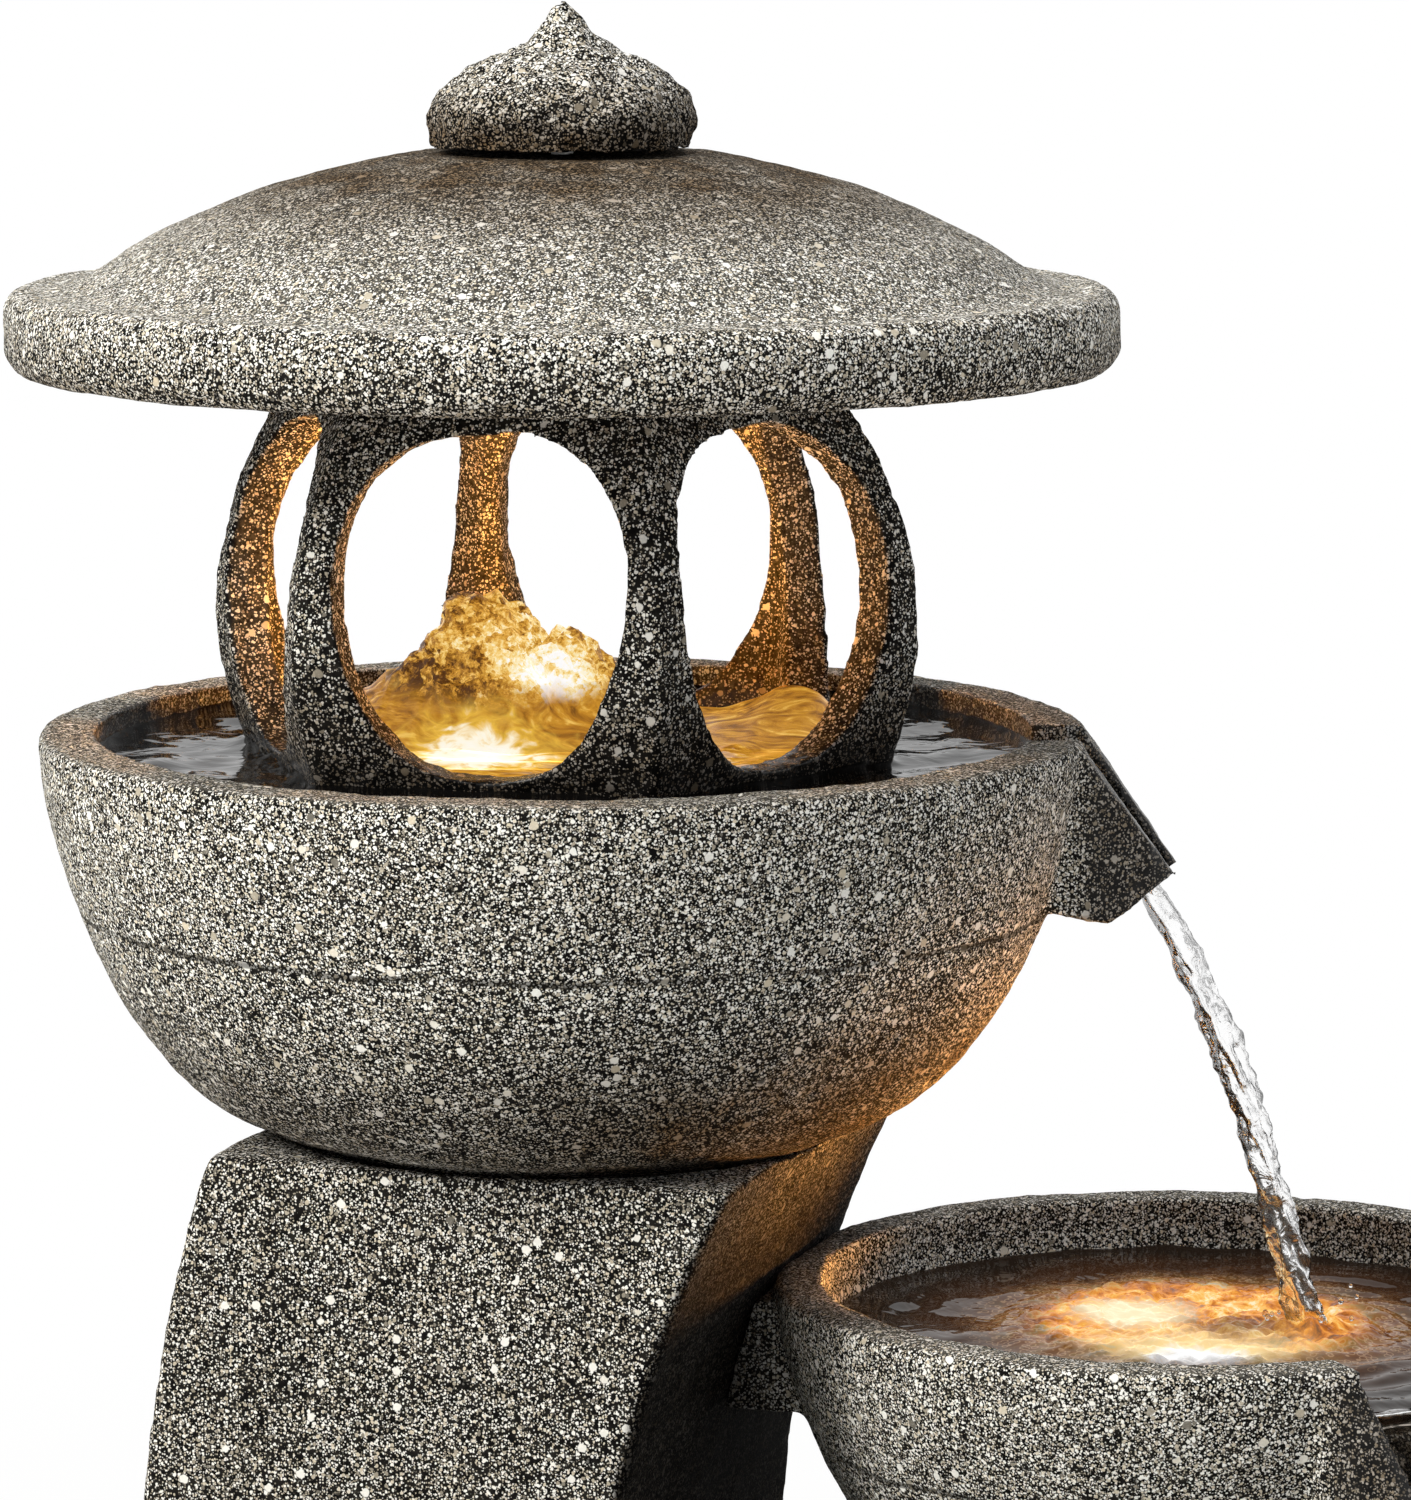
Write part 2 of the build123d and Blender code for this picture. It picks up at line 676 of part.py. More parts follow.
def make_cage():
    body = cage_barrel(0, upper_pan_level + joint_gap, lantern_top_level)
    body -= cage_barrel(cage_wall, upper_pan_level - overrun, lantern_top_level - cage_top_plate)
    plate_low, collar = lantern_top_level - cage_top_plate, cage_top_plate + cage_collar_height
    body += rod(cage_top_opening_radius + cage_collar_wall, plate_low, collar)
    body -= bore(cage_top_opening_radius, plate_low, collar)
    for i in range(cage_sides):
        body -= Rot(0, 0, i * 360 / cage_sides) * opening_prism()
    return Rot(0, 0, cage_turn) * body


def make_roof():
    crown = roof_crown_level
    span = roof_dome_radius - roof_crown_radius
    dome = [(roof_crown_radius + span * r, 0, crown - roof_dome_drop * z) for r, z in roof_dome_shares]
    lip = (roof_lip_radius, 0, crown - roof_lip_drop)
    edge_top = (roof_radius, 0, crown - roof_edge_drop)
    edge_bottom = (roof_radius, 0, crown - roof_edge_bottom_drop)
    bottom = (roof_bottom_radius, 0, crown - roof_bottom_drop)
    inner_bottom = (roof_bottom_radius - roof_lip_width, 0, crown - roof_bottom_drop)
    soffit = [(x, 0, z - roof_wall) for x, y, z in reversed(dome)]
    boss_top = (roof_boss_radius, 0, crown - roof_wall)
    boss_bottom = (roof_boss_radius, 0, lantern_top_level + joint_gap)
    socket_radius = cage_top_opening_radius + cage_collar_wall + fit_gap
    socket_low = (socket_radius, 0, lantern_top_level + joint_gap)
    socket_high = (socket_radius, 0, crown - roof_wall)
    axis_low, axis_high = (0, 0, crown - roof_wall), (0, 0, crown)
    corner = math.sqrt(0.5)
    edge_round = (roof_lip_radius + (roof_radius - roof_lip_radius) * corner, 0,
                  crown - roof_lip_drop - (roof_edge_drop - roof_lip_drop) * (1 - corner))
    soffit_start = (roof_boss_radius + roof_wall, 0, crown - roof_wall)
    shell = turned(
        Line(axis_high, dome[0]), Spline(*dome, lip), ThreePointArc(lip, edge_round, edge_top),
        Line(edge_top, edge_bottom), Line(edge_bottom, bottom), Line(bottom, inner_bottom),
        Spline(inner_bottom, *soffit[:-1], soffit_start), Line(soffit_start, boss_top),
        Line(boss_top, boss_bottom), Line(boss_bottom, socket_low), Line(socket_low, socket_high),
        Line(socket_high, axis_low), Line(axis_low, axis_high))
    return shell - bore(roof_stud_hole_radius, crown - roof_wall, roof_wall)


def make_finial():
    height = total_height - roof_crown_level
    points = [(finial_radius * r, 0, roof_crown_level + height * z) for r, z in finial_shares]
    foot = (finial_foot_radius, 0, roof_crown_level)
    tip = (0, 0, total_height)
    base = (0, 0, roof_crown_level)
    onion = turned(Line(base, foot), Line(foot, points[0]), Spline(*points, tip), Line(tip, base))
    stud_hole = finial_stud_grip + overrun
    return onion - rod(finial_stud_radius + shaft_gap, roof_crown_level - overrun, stud_hole)


# Fixings
def hex_bolt(radius, flats, head, length):
    """Bolt standing on its head at the origin, shank up."""
    return hexagon_rod(flats, 0, head) + rod(radius, head / 2, length + head / 2)


def washer(outer_radius, hole_radius, thickness):
    return rod(outer_radius, 0, thickness) - bore(hole_radius, 0, thickness)


def make_fixings():
    """Every bolt, washer and insert, as groups by the joint they hold."""
    bolts, washers, inserts = [], [], []
    bolt_length = washer_thickness + pillar_top_plate + bowl_insert_length - joint_gap
    head_level = pillar_plate_bottom - washer_thickness - m6_head
    for x, y in bowl_bolt_places():
        bolts.append(Pos(x, y, head_level) * hex_bolt(m6_radius, m6_flats, m6_head, bolt_length))
        washers.append(Pos(x, y, head_level + m6_head)
                       * washer(m6_washer_radius, m6_radius + shaft_gap, washer_thickness))
        insert = washer(bowl_insert_radius, m6_radius + shaft_gap, bowl_insert_length)
        inserts.append(Pos(x, y, upper_foot_level) * insert)
    save(Compound(bolts), "upper_bowl_bolts")
    save(Compound(washers), "upper_bowl_washers")
    save(Compound(inserts), "upper_bowl_threaded_inserts")
    bolts, washers, inserts = [], [], []
    wall_x = pillar_right_x(side_bolt_level)
    length = (wall_x - bolting_pad_face_x + washer_thickness + side_insert_recess + side_insert_length
              - joint_gap)
    lay = Rot(0, 90, 0)
    for y in side_bolt_places():
        start = bolting_pad_face_x - washer_thickness
        bolt = hex_bolt(m8_radius, m8_flats, m8_head, length)
        ring = washer(m8_washer_radius, m8_radius + shaft_gap, washer_thickness)
        insert = washer(side_insert_radius, m8_radius + shaft_gap, side_insert_length)
        bolts.append(Pos(start - m8_head, y, side_bolt_level) * lay * bolt)
        washers.append(Pos(start, y, side_bolt_level) * lay * ring)
        inserts.append(Pos(wall_x + side_insert_recess, y, side_bolt_level) * lay * insert)
    save(Compound(bolts), "side_bowl_bolts")
    save(Compound(washers), "side_bowl_washers")
    save(Compound(inserts), "side_bowl_threaded_inserts")


def make_finial_fixings():
    low = roof_crown_level - finial_stud_length + finial_stud_grip
    save(rod(finial_stud_radius, low, finial_stud_length), "finial_stud")
    under = roof_crown_level - roof_wall
    save(Pos(0, 0, under - washer_thickness)
         * washer(m8_washer_radius, finial_stud_radius + shaft_gap, washer_thickness), "finial_washer")
    nut_bottom = under - washer_thickness - m8_head
    nut = hexagon_rod(m6_flats, nut_bottom, m8_head)
    save(nut - bore(finial_stud_radius + shaft_gap, nut_bottom, m8_head), "finial_nut")


def make_door():
    back = pillar_half_depth
    plate = Pos(0, back, 0) * extrude(door_face(0), door_thickness)
    middle = door_bottom_level + door_height * door_pull_level_share
    plate -= rod_along_y(door_pull_radius, back - door_pull_depth, door_pull_depth + overrun,
                         door_centre_x, middle)
    screws = []
    for x, z in door_screw_places():
        plate -= bore_along_y(door_screw_radius + shaft_gap, back - door_thickness, door_thickness, x, z)
        head = rod_along_y(door_screw_head_radius, back, door_screw_head_height, x, z)
        shank = rod_along_y(door_screw_radius, back - door_screw_length,
                            door_screw_length + door_screw_head_height / 2, x, z)
        slot = block((x - door_screw_head_radius, back + door_screw_head_height / 2, z - fit_gap),
                     (x + door_screw_head_radius, back + door_screw_head_height + overrun, z + fit_gap))
        screws.append(head + shank - slot)
    save(plate, "access_door")
    save(Compound(screws), "access_door_screws")


def make_side_bowl_plug():
    low = side_rim_level - side_bowl_depth
    plug = rod(side_core_radius - joint_gap, low, plug_thickness)
    plug += rod(side_core_radius + plug_flange, low - plug_flange_thickness - joint_gap,
                plug_flange_thickness)
    plug += rod(side_core_radius - plug_flange, low - plug_flange_thickness / 2, plug_flange_thickness)
    return Pos(side_bowl_x, side_bowl_y, 0) * plug


# Pump
def barbed_tube(bottom, height, upward):
    """Hose tail with saw-tooth barbs, bored through, on the Z axis."""
    tube = rod(outlet_radius, bottom, height)
    for i in range(barb_count):
        offset = barb_pitch * (i + 1)
        if upward:
            cone = Pos(0, 0, bottom + height - offset + barb_pitch / 2) * Cone(
                outlet_radius + barb_rise, outlet_radius, barb_pitch)
        else:
            cone = Pos(0, 0, bottom + offset - barb_pitch / 2) * Cone(
                outlet_radius, outlet_radius + barb_rise, barb_pitch)
        tube += cone
    return tube


def pump_box(front, length, inset):
    """Rounded pump casing stretch along Y."""
    shape = RectangleRounded(pump_width - inset - inset, pump_height - inset - inset, pump_corner - inset)
    middle = pump_floor + pump_height / 2
    return Pos(0, front, 0) * extrude(Plane.XZ * Pos(pump_x, middle) * shape, -length)


def make_pump_housing():
    body = pump_box(pump_front, pump_body_length, 0)
    body -= rod_along_y(volute_radius, pump_front - overrun, volute_length + overrun, pump_x, impeller_level)
    body -= rod_along_y(rotor_well_radius, pump_front, volute_length + rotor_well_length,
                        pump_x, impeller_level)
    body -= rod(outlet_bore_radius, impeller_level, pump_height, pump_x, pump_front + volute_length / 2)
    seat = pump_front + volute_length + rotor_well_length
    body -= rod_along_y(bush_radius, seat - overrun, bush_length + overrun, pump_x, impeller_level)
    for x, y in foot_places():
        body -= rod(suction_foot_neck_radius, pump_floor - overrun, overrun + overrun, x, y)
    return body


def foot_places():
    reach_x = pump_width / 2 - suction_foot_radius
    reach_y = pump_body_length / 2 - suction_foot_radius
    return [(pump_x + sx * reach_x, pump_y + sy * reach_y) for sx in (-1, 1) for sy in (-1, 1)]


def dial_place():
    margin = dial_radius + pump_shell
    return pump_x + pump_width / 2 - pump_shell - margin, pump_floor + margin


def make_pump_cover():
    body = pump_box(pump_cover_front, pump_cover_length, 0)
    body -= pump_box(pump_cover_front + pump_shell, pump_cover_length, pump_shell)
    partition = pump_box(pump_front - pump_shell, pump_shell, 0)
    partition -= bore_along_y(impeller_eye_radius, pump_front - pump_shell, pump_shell,
                              pump_x, impeller_level)
    bridge = block((pump_x - bush_radius, pump_front - pump_shell, impeller_level - impeller_radius),
                   (pump_x + bush_radius, pump_front, impeller_level + impeller_radius))
    body += partition + bridge
    body -= bore_along_y(shaft_radius + shaft_gap, pump_front - pump_shell, pump_shell,
                         pump_x, impeller_level)
    slot_top = pump_floor + pump_height - pump_corner
    for i in range(grille_slot_count):
        x = pump_x + (i - (grille_slot_count - 1) / 2) * grille_slot_pitch
        body -= block((x - grille_slot_width / 2, pump_cover_front - overrun, slot_top - grille_slot_height),
                      (x + grille_slot_width / 2, pump_cover_front + pump_shell + overrun, slot_top))
    dial_x, dial_level = dial_place()
    return body - bore_along_y(dial_pin_radius + shaft_gap, pump_cover_front, pump_shell, dial_x, dial_level)


def make_flow_dial():
    x, level = dial_place()
    front = pump_cover_front - joint_gap - dial_height
    dial = rod_along_y(dial_radius, front, dial_height, x, level)
    dial += rod_along_y(dial_pin_radius, front, dial_height + pump_shell + dial_rib_thickness, x, level)
    dial += rod_along_y(dial_pin_radius + dial_rib_thickness, pump_cover_front + pump_shell + joint_gap,
                        dial_rib_thickness, x, level)
    return dial + block((x - dial_rib_thickness / 2, front - dial_rib_height, level - dial_radius),
                        (x + dial_rib_thickness / 2, front, level + dial_radius))


def make_impeller():
    """Closed-back impeller with its hub, bored for the shaft."""
    start = pump_front + volute_length - running_gap - impeller_disc_thickness
    disc = rod_along_y(impeller_radius, start, impeller_disc_thickness, pump_x, impeller_level)
    blades = rod_along_y(impeller_hub_radius, start - impeller_blade_height, impeller_blade_height,
                         pump_x, impeller_level)
    for i in range(impeller_blade_count):
        blade = block((0, start - impeller_blade_height, -impeller_blade_thickness / 2),
                      (impeller_radius - running_gap, start + impeller_disc_thickness / 2,
                       impeller_blade_thickness / 2))
        blades += Pos(pump_x, 0, impeller_level) * Rot(0, i * 360 / impeller_blade_count, 0) * blade
    hub_length = impeller_blade_height + impeller_disc_thickness
    return disc + blades - bore_along_y(shaft_radius + shaft_gap, start - impeller_blade_height, hub_length,
                                        pump_x, impeller_level)


def make_rotor_magnet():
    start = pump_front + volute_length - running_gap
    magnet = rod_along_y(rotor_radius, start, rotor_length, pump_x, impeller_level)
    return magnet - bore_along_y(shaft_radius + shaft_gap, start, rotor_length, pump_x, impeller_level)


def make_pump():
    save(make_pump_housing(), "pump_housing")
    save(make_pump_cover(), "pump_intake_cover")
    save(make_flow_dial(), "flow_dial")
    save(make_impeller(), "impeller")
    save(make_rotor_magnet(), "rotor_magnet")
    shaft_start = pump_front - pump_shell
    shaft_end = pump_front + volute_length + rotor_well_length + bush_length
    shaft = rod_along_y(shaft_radius, shaft_start, shaft_end - shaft_start, pump_x, impeller_level)
    save(shaft, "impeller_shaft")
    bush = rod_along_y(bush_radius, shaft_end - bush_length, bush_length, pump_x, impeller_level)
    save(bush - bore_along_y(shaft_radius + shaft_gap, shaft_end - bush_length, bush_length,
                             pump_x, impeller_level), "shaft_bush")
    y = pump_front + volute_length / 2
    top = pump_floor + pump_height
    outlet = barbed_tube(top, outlet_height, True) + rod(outlet_collar_radius, top, outlet_collar_height)
    outlet -= bore(outlet_bore_radius, top, outlet_height)
    save(Pos(pump_x, y, 0) * outlet, "pump_outlet")
    feet = []
    for x, y in foot_places():
        cup = Pos(x, y, basin_floor + suction_foot_lip / 2) * Cone(
            suction_foot_radius, suction_foot_neck_radius, suction_foot_lip)
        neck = rod(suction_foot_neck_radius, basin_floor + suction_foot_lip / 2,
                   pump_clearance_below - suction_foot_lip / 2 + overrun, x, y)
        feet.append(cup + neck)
    save(Compound(feet), "suction_feet")


# Water path
def make_water_path():
    outlet_y = pump_front + volute_length / 2
    outlet_top = pump_floor + pump_height + outlet_collar_height
    barb_bottom = upper_pan_level + gasket_thickness - bulkhead_thread_length - bulkhead_barb_length
    hose_top = barb_bottom + bulkhead_barb_length - overrun
    path = FilletPolyline((pump_x, outlet_y, outlet_top), (pump_x, outlet_y, hose_bend_low_level),
                          (0, 0, hose_bend_high_level), (0, 0, hose_top), radius=hose_bend_radius)
    start = Plane(origin=(pump_x, outlet_y, outlet_top), z_dir=(0, 0, 1))
    save(sweep(start * (Circle(hose_outer_radius) - Circle(hose_inner_radius)), path), "riser_hose")
    clamps = []
    low_clamp = (pump_x, outlet_y, outlet_top + clamp_width / 2)
    high_clamp = (0, 0, hose_top - clamp_width - clamp_width / 2)
    for x, y, z in (low_clamp, high_clamp):
        band = rod(hose_outer_radius + clamp_thickness, z, clamp_width, x, y)
        band += block((x + hose_outer_radius, y - clamp_ear / 2, z),
                      (x + hose_outer_radius + clamp_ear, y + clamp_ear / 2, z + clamp_width))
        clamps.append(band - bore(hose_outer_radius, z, clamp_width, x, y))
    save(Compound(clamps), "hose_clamps")
    flange_low = upper_pan_level + gasket_thickness
    fitting = rod(bulkhead_flange_radius, flange_low, bulkhead_flange_thickness)
    fitting += rod(bulkhead_thread_radius, flange_low - bulkhead_thread_length, bulkhead_thread_length)
    fitting += barbed_tube(barb_bottom, bulkhead_barb_length, False)
    fitting -= bore(outlet_bore_radius, barb_bottom,
                    bulkhead_barb_length + bulkhead_thread_length + bulkhead_flange_thickness)
    save(fitting, "bulkhead_fitting")
    gasket = Pos(0, 0, upper_pan_level) * washer(
        bulkhead_flange_radius, bulkhead_thread_radius + joint_gap, gasket_thickness)
    save(gasket, "bulkhead_gasket")
    nut_low = upper_pan_level - pan_thickness - bulkhead_nut_thickness
    nut = hexagon_rod(bulkhead_nut_flats, nut_low, bulkhead_nut_thickness)
    nut -= bore(bulkhead_thread_radius + shaft_gap, nut_low, bulkhead_nut_thickness)
    save(nut, "bulkhead_nut")
    save(make_nozzle(flange_low + bulkhead_flange_thickness), "bubbler_nozzle")


def make_nozzle(low):
    """Waisted bubbler nozzle with a straight foot, bored through."""
    high, foot_top = low + nozzle_height, low + nozzle_foot_height
    bore_low, bore_high = (nozzle_bore_radius, 0, low), (nozzle_bore_radius, 0, high)
    foot_low, foot_high = (nozzle_mouth_radius, 0, low), (nozzle_mouth_radius, 0, foot_top)
    waist, mouth = (nozzle_radius, 0, (low + high) / 2), (nozzle_mouth_radius, 0, high)
    return turned(Line(bore_low, foot_low), Line(foot_low, foot_high),
                  ThreePointArc(foot_high, waist, mouth), Line(mouth, bore_high), Line(bore_high, bore_low))


# Lights
def make_light(name, x, y, floor, lead_from_below):
    """Sealed underwater lamp: cup, board with its light chips and a crowned lens."""
    well_radius = light_radius - light_wall - light_wall
    lens_low = floor + light_height - light_lens_thickness
    cup = rod(light_radius, floor, light_height - light_lens_thickness / 2)
    cup -= rod(well_radius, floor + light_wall, light_height)
    cup -= rod(light_radius - light_wall, lens_low, light_height)
    if lead_from_below:
        cup -= rod(lead_radius + joint_gap, floor - overrun, light_height)
    else:
        cup -= bore_along_x(lead_radius + joint_gap, -light_radius, light_radius - well_radius, 0,
                            floor + light_height * side_light_lead_share)
    save(Pos(x, y, 0) * cup, f"{name}_housing")
    board_low = lens_low - light_chip_height - light_board_thickness - joint_gap
    board = rod(well_radius - joint_gap, board_low, light_board_thickness)
    board += rod(light_chip_circle - light_chip_radius, floor + light_wall + lead_radius, board_low - floor
                 - light_wall - lead_radius + light_board_thickness)
    for i in range(light_chip_count):
        cx, cy = at_radius(light_chip_circle, i * 360 / light_chip_count)
        board += rod(light_chip_radius, board_low + light_board_thickness / 2,
                     light_chip_height + light_board_thickness / 2, cx, cy)
    save(Pos(x, y, 0) * board, f"{name}_board")
    lens_radius = light_radius - light_wall - joint_gap
    dome_radius = (lens_radius ** 2 + light_lens_crown ** 2) / (2 * light_lens_crown)
    lens = rod(lens_radius, lens_low, light_lens_thickness + light_lens_crown)
    lens &= Pos(0, 0, lens_low + light_lens_thickness + light_lens_crown - dome_radius) * Sphere(dome_radius)
    save(Pos(x, y, 0) * lens, f"{name}_lens")


def make_gland(length):
    """Rubber gland on +Z, flange at the origin, sleeve below it."""
    body = rod(gland_flange_radius, 0, gland_flange_thickness)
    body += rod(gland_radius - shaft_gap, -length, length)
    return body - bore(lead_radius + shaft_gap, -length, length + gland_flange_thickness)


def lead_bend_radii(points):
    """One radius for each corner: as large as the shorter run beside it allows."""
    runs = [Vector(*b) - Vector(*a) for a, b in zip(points, points[1:])]
    radii = []
    for before, after in zip(runs, runs[1:]):
        half_turn = math.radians(before.get_angle(after)) / 2
        radii.append(lead_run_share * min(before.length, after.length) / math.tan(half_turn))
    return radii


def make_lead(name, points):
    """Round lead swept along straight runs joined by arcs."""
    radii = lead_bend_radii(points)
    path = FilletPolyline(*points, radius=radii)
    lead = sweep(Plane(origin=points[0], z_dir=path % 0) * Circle(lead_radius), path)
    print(name, "bend radii", [round(radius) for radius in radii], "length", round(path.length),
          "volume over section times length", lead.volume / (math.pi * lead_radius ** 2 * path.length))
    save(lead, name)


def make_lights():
    lantern_x, lantern_y = at_radius(lantern_light_reach, lantern_light_heading)
    dx, dy = at_radius(side_light_reach, side_light_heading)
    make_light("lantern_light", lantern_x, lantern_y, upper_pan_level + gland_flange_thickness, True)
    make_light("side_light", side_bowl_x + dx, side_bowl_y + dy, side_pan_level, False)
    save(Pos(lantern_x, lantern_y, upper_pan_level) * make_gland(pan_thickness), "lantern_light_gland")
    gland = make_gland(side_gland_seat_x - pillar_right_x(side_bolt_level) - overrun)
    save(Pos(side_gland_seat_x, side_gland_y, side_bolt_level) * Rot(0, 90, 0) * gland, "side_light_gland")


def box_gland_places():
    """The junction box's three glands: X and level, and whether each looks up."""
    half, top = box_gland_spacing / 2, box_level + box_height
    return ((box_centre_x - half, top, True), (box_centre_x + half, top, True),
            (box_centre_x, box_level, False))


def make_junction_box():
    """Watertight box on the inside of the pillar's front wall, with its lid and glands."""
    wall_y = -pillar_half_depth + pillar_wall
    middle = box_level + box_height / 2
    outline = Plane.XZ * Pos(box_centre_x, middle) * RectangleRounded(box_width, box_height, box_corner)
    inner = Plane.XZ * Pos(box_centre_x, middle) * RectangleRounded(
        box_width - box_wall - box_wall, box_height - box_wall - box_wall, box_inner_corner)
    shell = Pos(0, wall_y, 0) * extrude(outline, -box_depth)
    shell -= Pos(0, wall_y + box_wall, 0) * extrude(inner, -box_depth)
    lid = Pos(0, wall_y + box_depth, 0) * extrude(outline, -box_lid_thickness)
    lid += Pos(0, wall_y + box_depth - box_wall, 0) * extrude(offset(inner, -joint_gap), -box_wall)
    glands = []
    for x, level, up in box_gland_places():
        y = wall_y + box_depth / 2
        shell -= rod(gland_radius, level - box_corner, box_corner + box_corner, x, y)
        turn = Rot(0, 0, 0) if up else Rot(180, 0, 0)
        glands.append(Pos(x, y, level) * turn * make_gland(box_wall))
    save(shell, "junction_box")
    save(lid, "junction_box_lid")
    save(Compound(glands), "junction_box_glands")


def steps_from(place, steps):
    """Points of a route, each a step away from one place."""
    return [tuple(p + step for p, step in zip(place, offset)) for offset in steps]


def make_leads():
    gland_y = -pillar_half_depth + pillar_wall + box_depth / 2
    box_ends = [(x, gland_y, level) for x, level, up in box_gland_places()]
    light_x, light_y = at_radius(lantern_light_reach, lantern_light_heading)
    make_lead("lantern_light_lead", steps_from((light_x, light_y, upper_pan_level), lantern_lead_start)
              + steps_from(box_ends[0], lantern_lead_end))
    light_x, light_y = at_radius(side_light_reach, side_light_heading)
    light = (side_bowl_x + light_x, side_bowl_y + light_y, side_pan_level)
    bowl_seat = (side_gland_seat_x, side_gland_y, side_bolt_level)
    pillar_face = (pillar_right_x(side_bolt_level), side_gland_y, side_bolt_level)
    make_lead("side_light_lead", steps_from(light, side_lead_start) + steps_from(bowl_seat, side_lead_seat)
              + steps_from(pillar_face, side_lead_wall) + steps_from(box_ends[1], side_lead_end))
    back = pump_y + pump_body_length / 2
    make_lead("pump_lead", steps_from((pump_x, back, pump_gland_level), pump_lead_start)
              + steps_from(box_ends[2], pump_lead_end))
    gland = rod_along_y(pump_gland_radius, back, pump_gland_length, pump_x, pump_gland_level)
    gland -= bore_along_y(lead_radius + shaft_gap, back, pump_gland_length, pump_x, pump_gland_level)
    save(gland, "pump_lead_gland")


def make_cable_grommet():
    """Rubber grommet in the basin's wall, where the supply cable leaves."""
    start = (basin_radius - basin_wall) * cable_grommet_inner_share
    end = basin_radius
    body = rod_along_x(cable_hole_radius - shaft_gap, start, end - start, 0, cable_hole_level)
    flange_radius = cable_hole_radius + cable_grommet_flange
    for x in (start - cable_grommet_flange, end):
        body += rod_along_x(flange_radius, x, cable_grommet_flange, 0, cable_hole_level)
    body -= rod_along_x(cable_grommet_bore, 0, end + basin_radius, 0, cable_hole_level)
    return Pos(basin_centre_x, basin_centre_y, 0) * Rot(0, 0, cable_hole_heading) * body


os.makedirs("parts", exist_ok=True)
save(make_basin(), "base_basin")
save(make_pillar(), "pillar")
save(make_upper_bowl(), "upper_bowl")
save(make_side_bowl(), "side_bowl")
save(make_side_bowl_plug(), "side_bowl_plug")
save(make_cage(), "lantern_cage")
save(make_roof(), "roof")
save(make_finial(), "finial")
make_fixings()
make_finial_fixings()
make_door()
make_pump()
make_water_path()
make_lights()
make_junction_box()
make_leads()
save(make_cable_grommet(), "basin_cable_grommet")
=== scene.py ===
"""Looks of the cascading lantern fountain: cast stone, running water and warm underwater light."""

import json
import math
from collections import namedtuple

import bpy
import numpy as np
from bpy.props import FloatProperty, FloatVectorProperty, IntProperty, PointerProperty, StringProperty
from bpy.types import Operator, Panel, PropertyGroup
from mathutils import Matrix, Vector, noise
from mathutils.bvhtree import BVHTree


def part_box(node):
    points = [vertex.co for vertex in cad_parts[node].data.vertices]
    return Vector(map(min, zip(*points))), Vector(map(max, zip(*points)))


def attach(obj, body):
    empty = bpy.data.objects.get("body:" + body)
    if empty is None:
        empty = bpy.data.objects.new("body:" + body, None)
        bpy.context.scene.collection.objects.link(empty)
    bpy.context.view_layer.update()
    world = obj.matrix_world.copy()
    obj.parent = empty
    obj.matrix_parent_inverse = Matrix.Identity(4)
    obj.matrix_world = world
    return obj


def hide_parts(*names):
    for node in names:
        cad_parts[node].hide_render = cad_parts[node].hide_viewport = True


bl_info = {
    "name": "Lantern Cascade Fountain",
    "version": (1, 0, 0),
    "blender": (4, 5, 0),
    "location": "View3D > Sidebar > Fountain",
    "description": "Dresses the fountain's solids with carved stone, water, light and its small fittings",
    "category": "Object",
}

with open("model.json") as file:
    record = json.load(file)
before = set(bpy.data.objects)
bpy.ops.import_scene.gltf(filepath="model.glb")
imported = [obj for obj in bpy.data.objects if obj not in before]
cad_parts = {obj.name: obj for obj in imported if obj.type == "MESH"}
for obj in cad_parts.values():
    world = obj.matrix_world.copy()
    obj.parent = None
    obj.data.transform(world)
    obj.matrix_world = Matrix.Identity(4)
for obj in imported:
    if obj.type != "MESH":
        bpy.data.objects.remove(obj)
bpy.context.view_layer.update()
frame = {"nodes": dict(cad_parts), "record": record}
noise.seed_set(1)  # Noise vectors take their seed from the clock otherwise
MM = 0.001


# Sizes and colours that a user would change
class StoneSettings(PropertyGroup):
    """Cast stone: dark cement with washed granite chips."""
    matrix: StringProperty(name="Matrix", description="Dark cement between the chips, sRGB hex", default="0F0E0D")
    matrix_pale: StringProperty(name="Matrix, worn", description="Rubbed cement, sRGB hex", default="2C2A26")
    chip_white: StringProperty(name="White chips", description="Palest chips, sRGB hex", default="FFFDF6")
    chip_beige: StringProperty(name="Beige chips", description="Warm chips, sRGB hex", default="DDD1B9")
    chip_grey: StringProperty(name="Grey chips", description="Mid chips, sRGB hex", default="716D64")
    dust: StringProperty(name="Dust", description="Fines that fill the gaps on upper faces, sRGB hex", default="8E8A80")
    # Laid as real stains, and on the lantern bowl's lower right belly and the pillar's right face as painted warm glow
    patina: StringProperty(name="Patina", description="Brown mineral stain, sRGB hex", default="94806A")
    large: FloatProperty(name="Large chips", description="Spacing in millimetres", default=3.1, min=1, max=12)
    coarse: FloatProperty(name="Coarse chips", description="Spacing in millimetres", default=1.4, min=0.5, max=8)
    medium: FloatProperty(name="Medium chips", description="Spacing in millimetres", default=0.92, min=0.3, max=6)
    fine: FloatProperty(name="Fine grit", description="Spacing in millimetres", default=0.6, min=0.2, max=4)
    pit_spacing: FloatProperty(name="Pits", description="Spacing in millimetres", default=9.0, min=2, max=40)


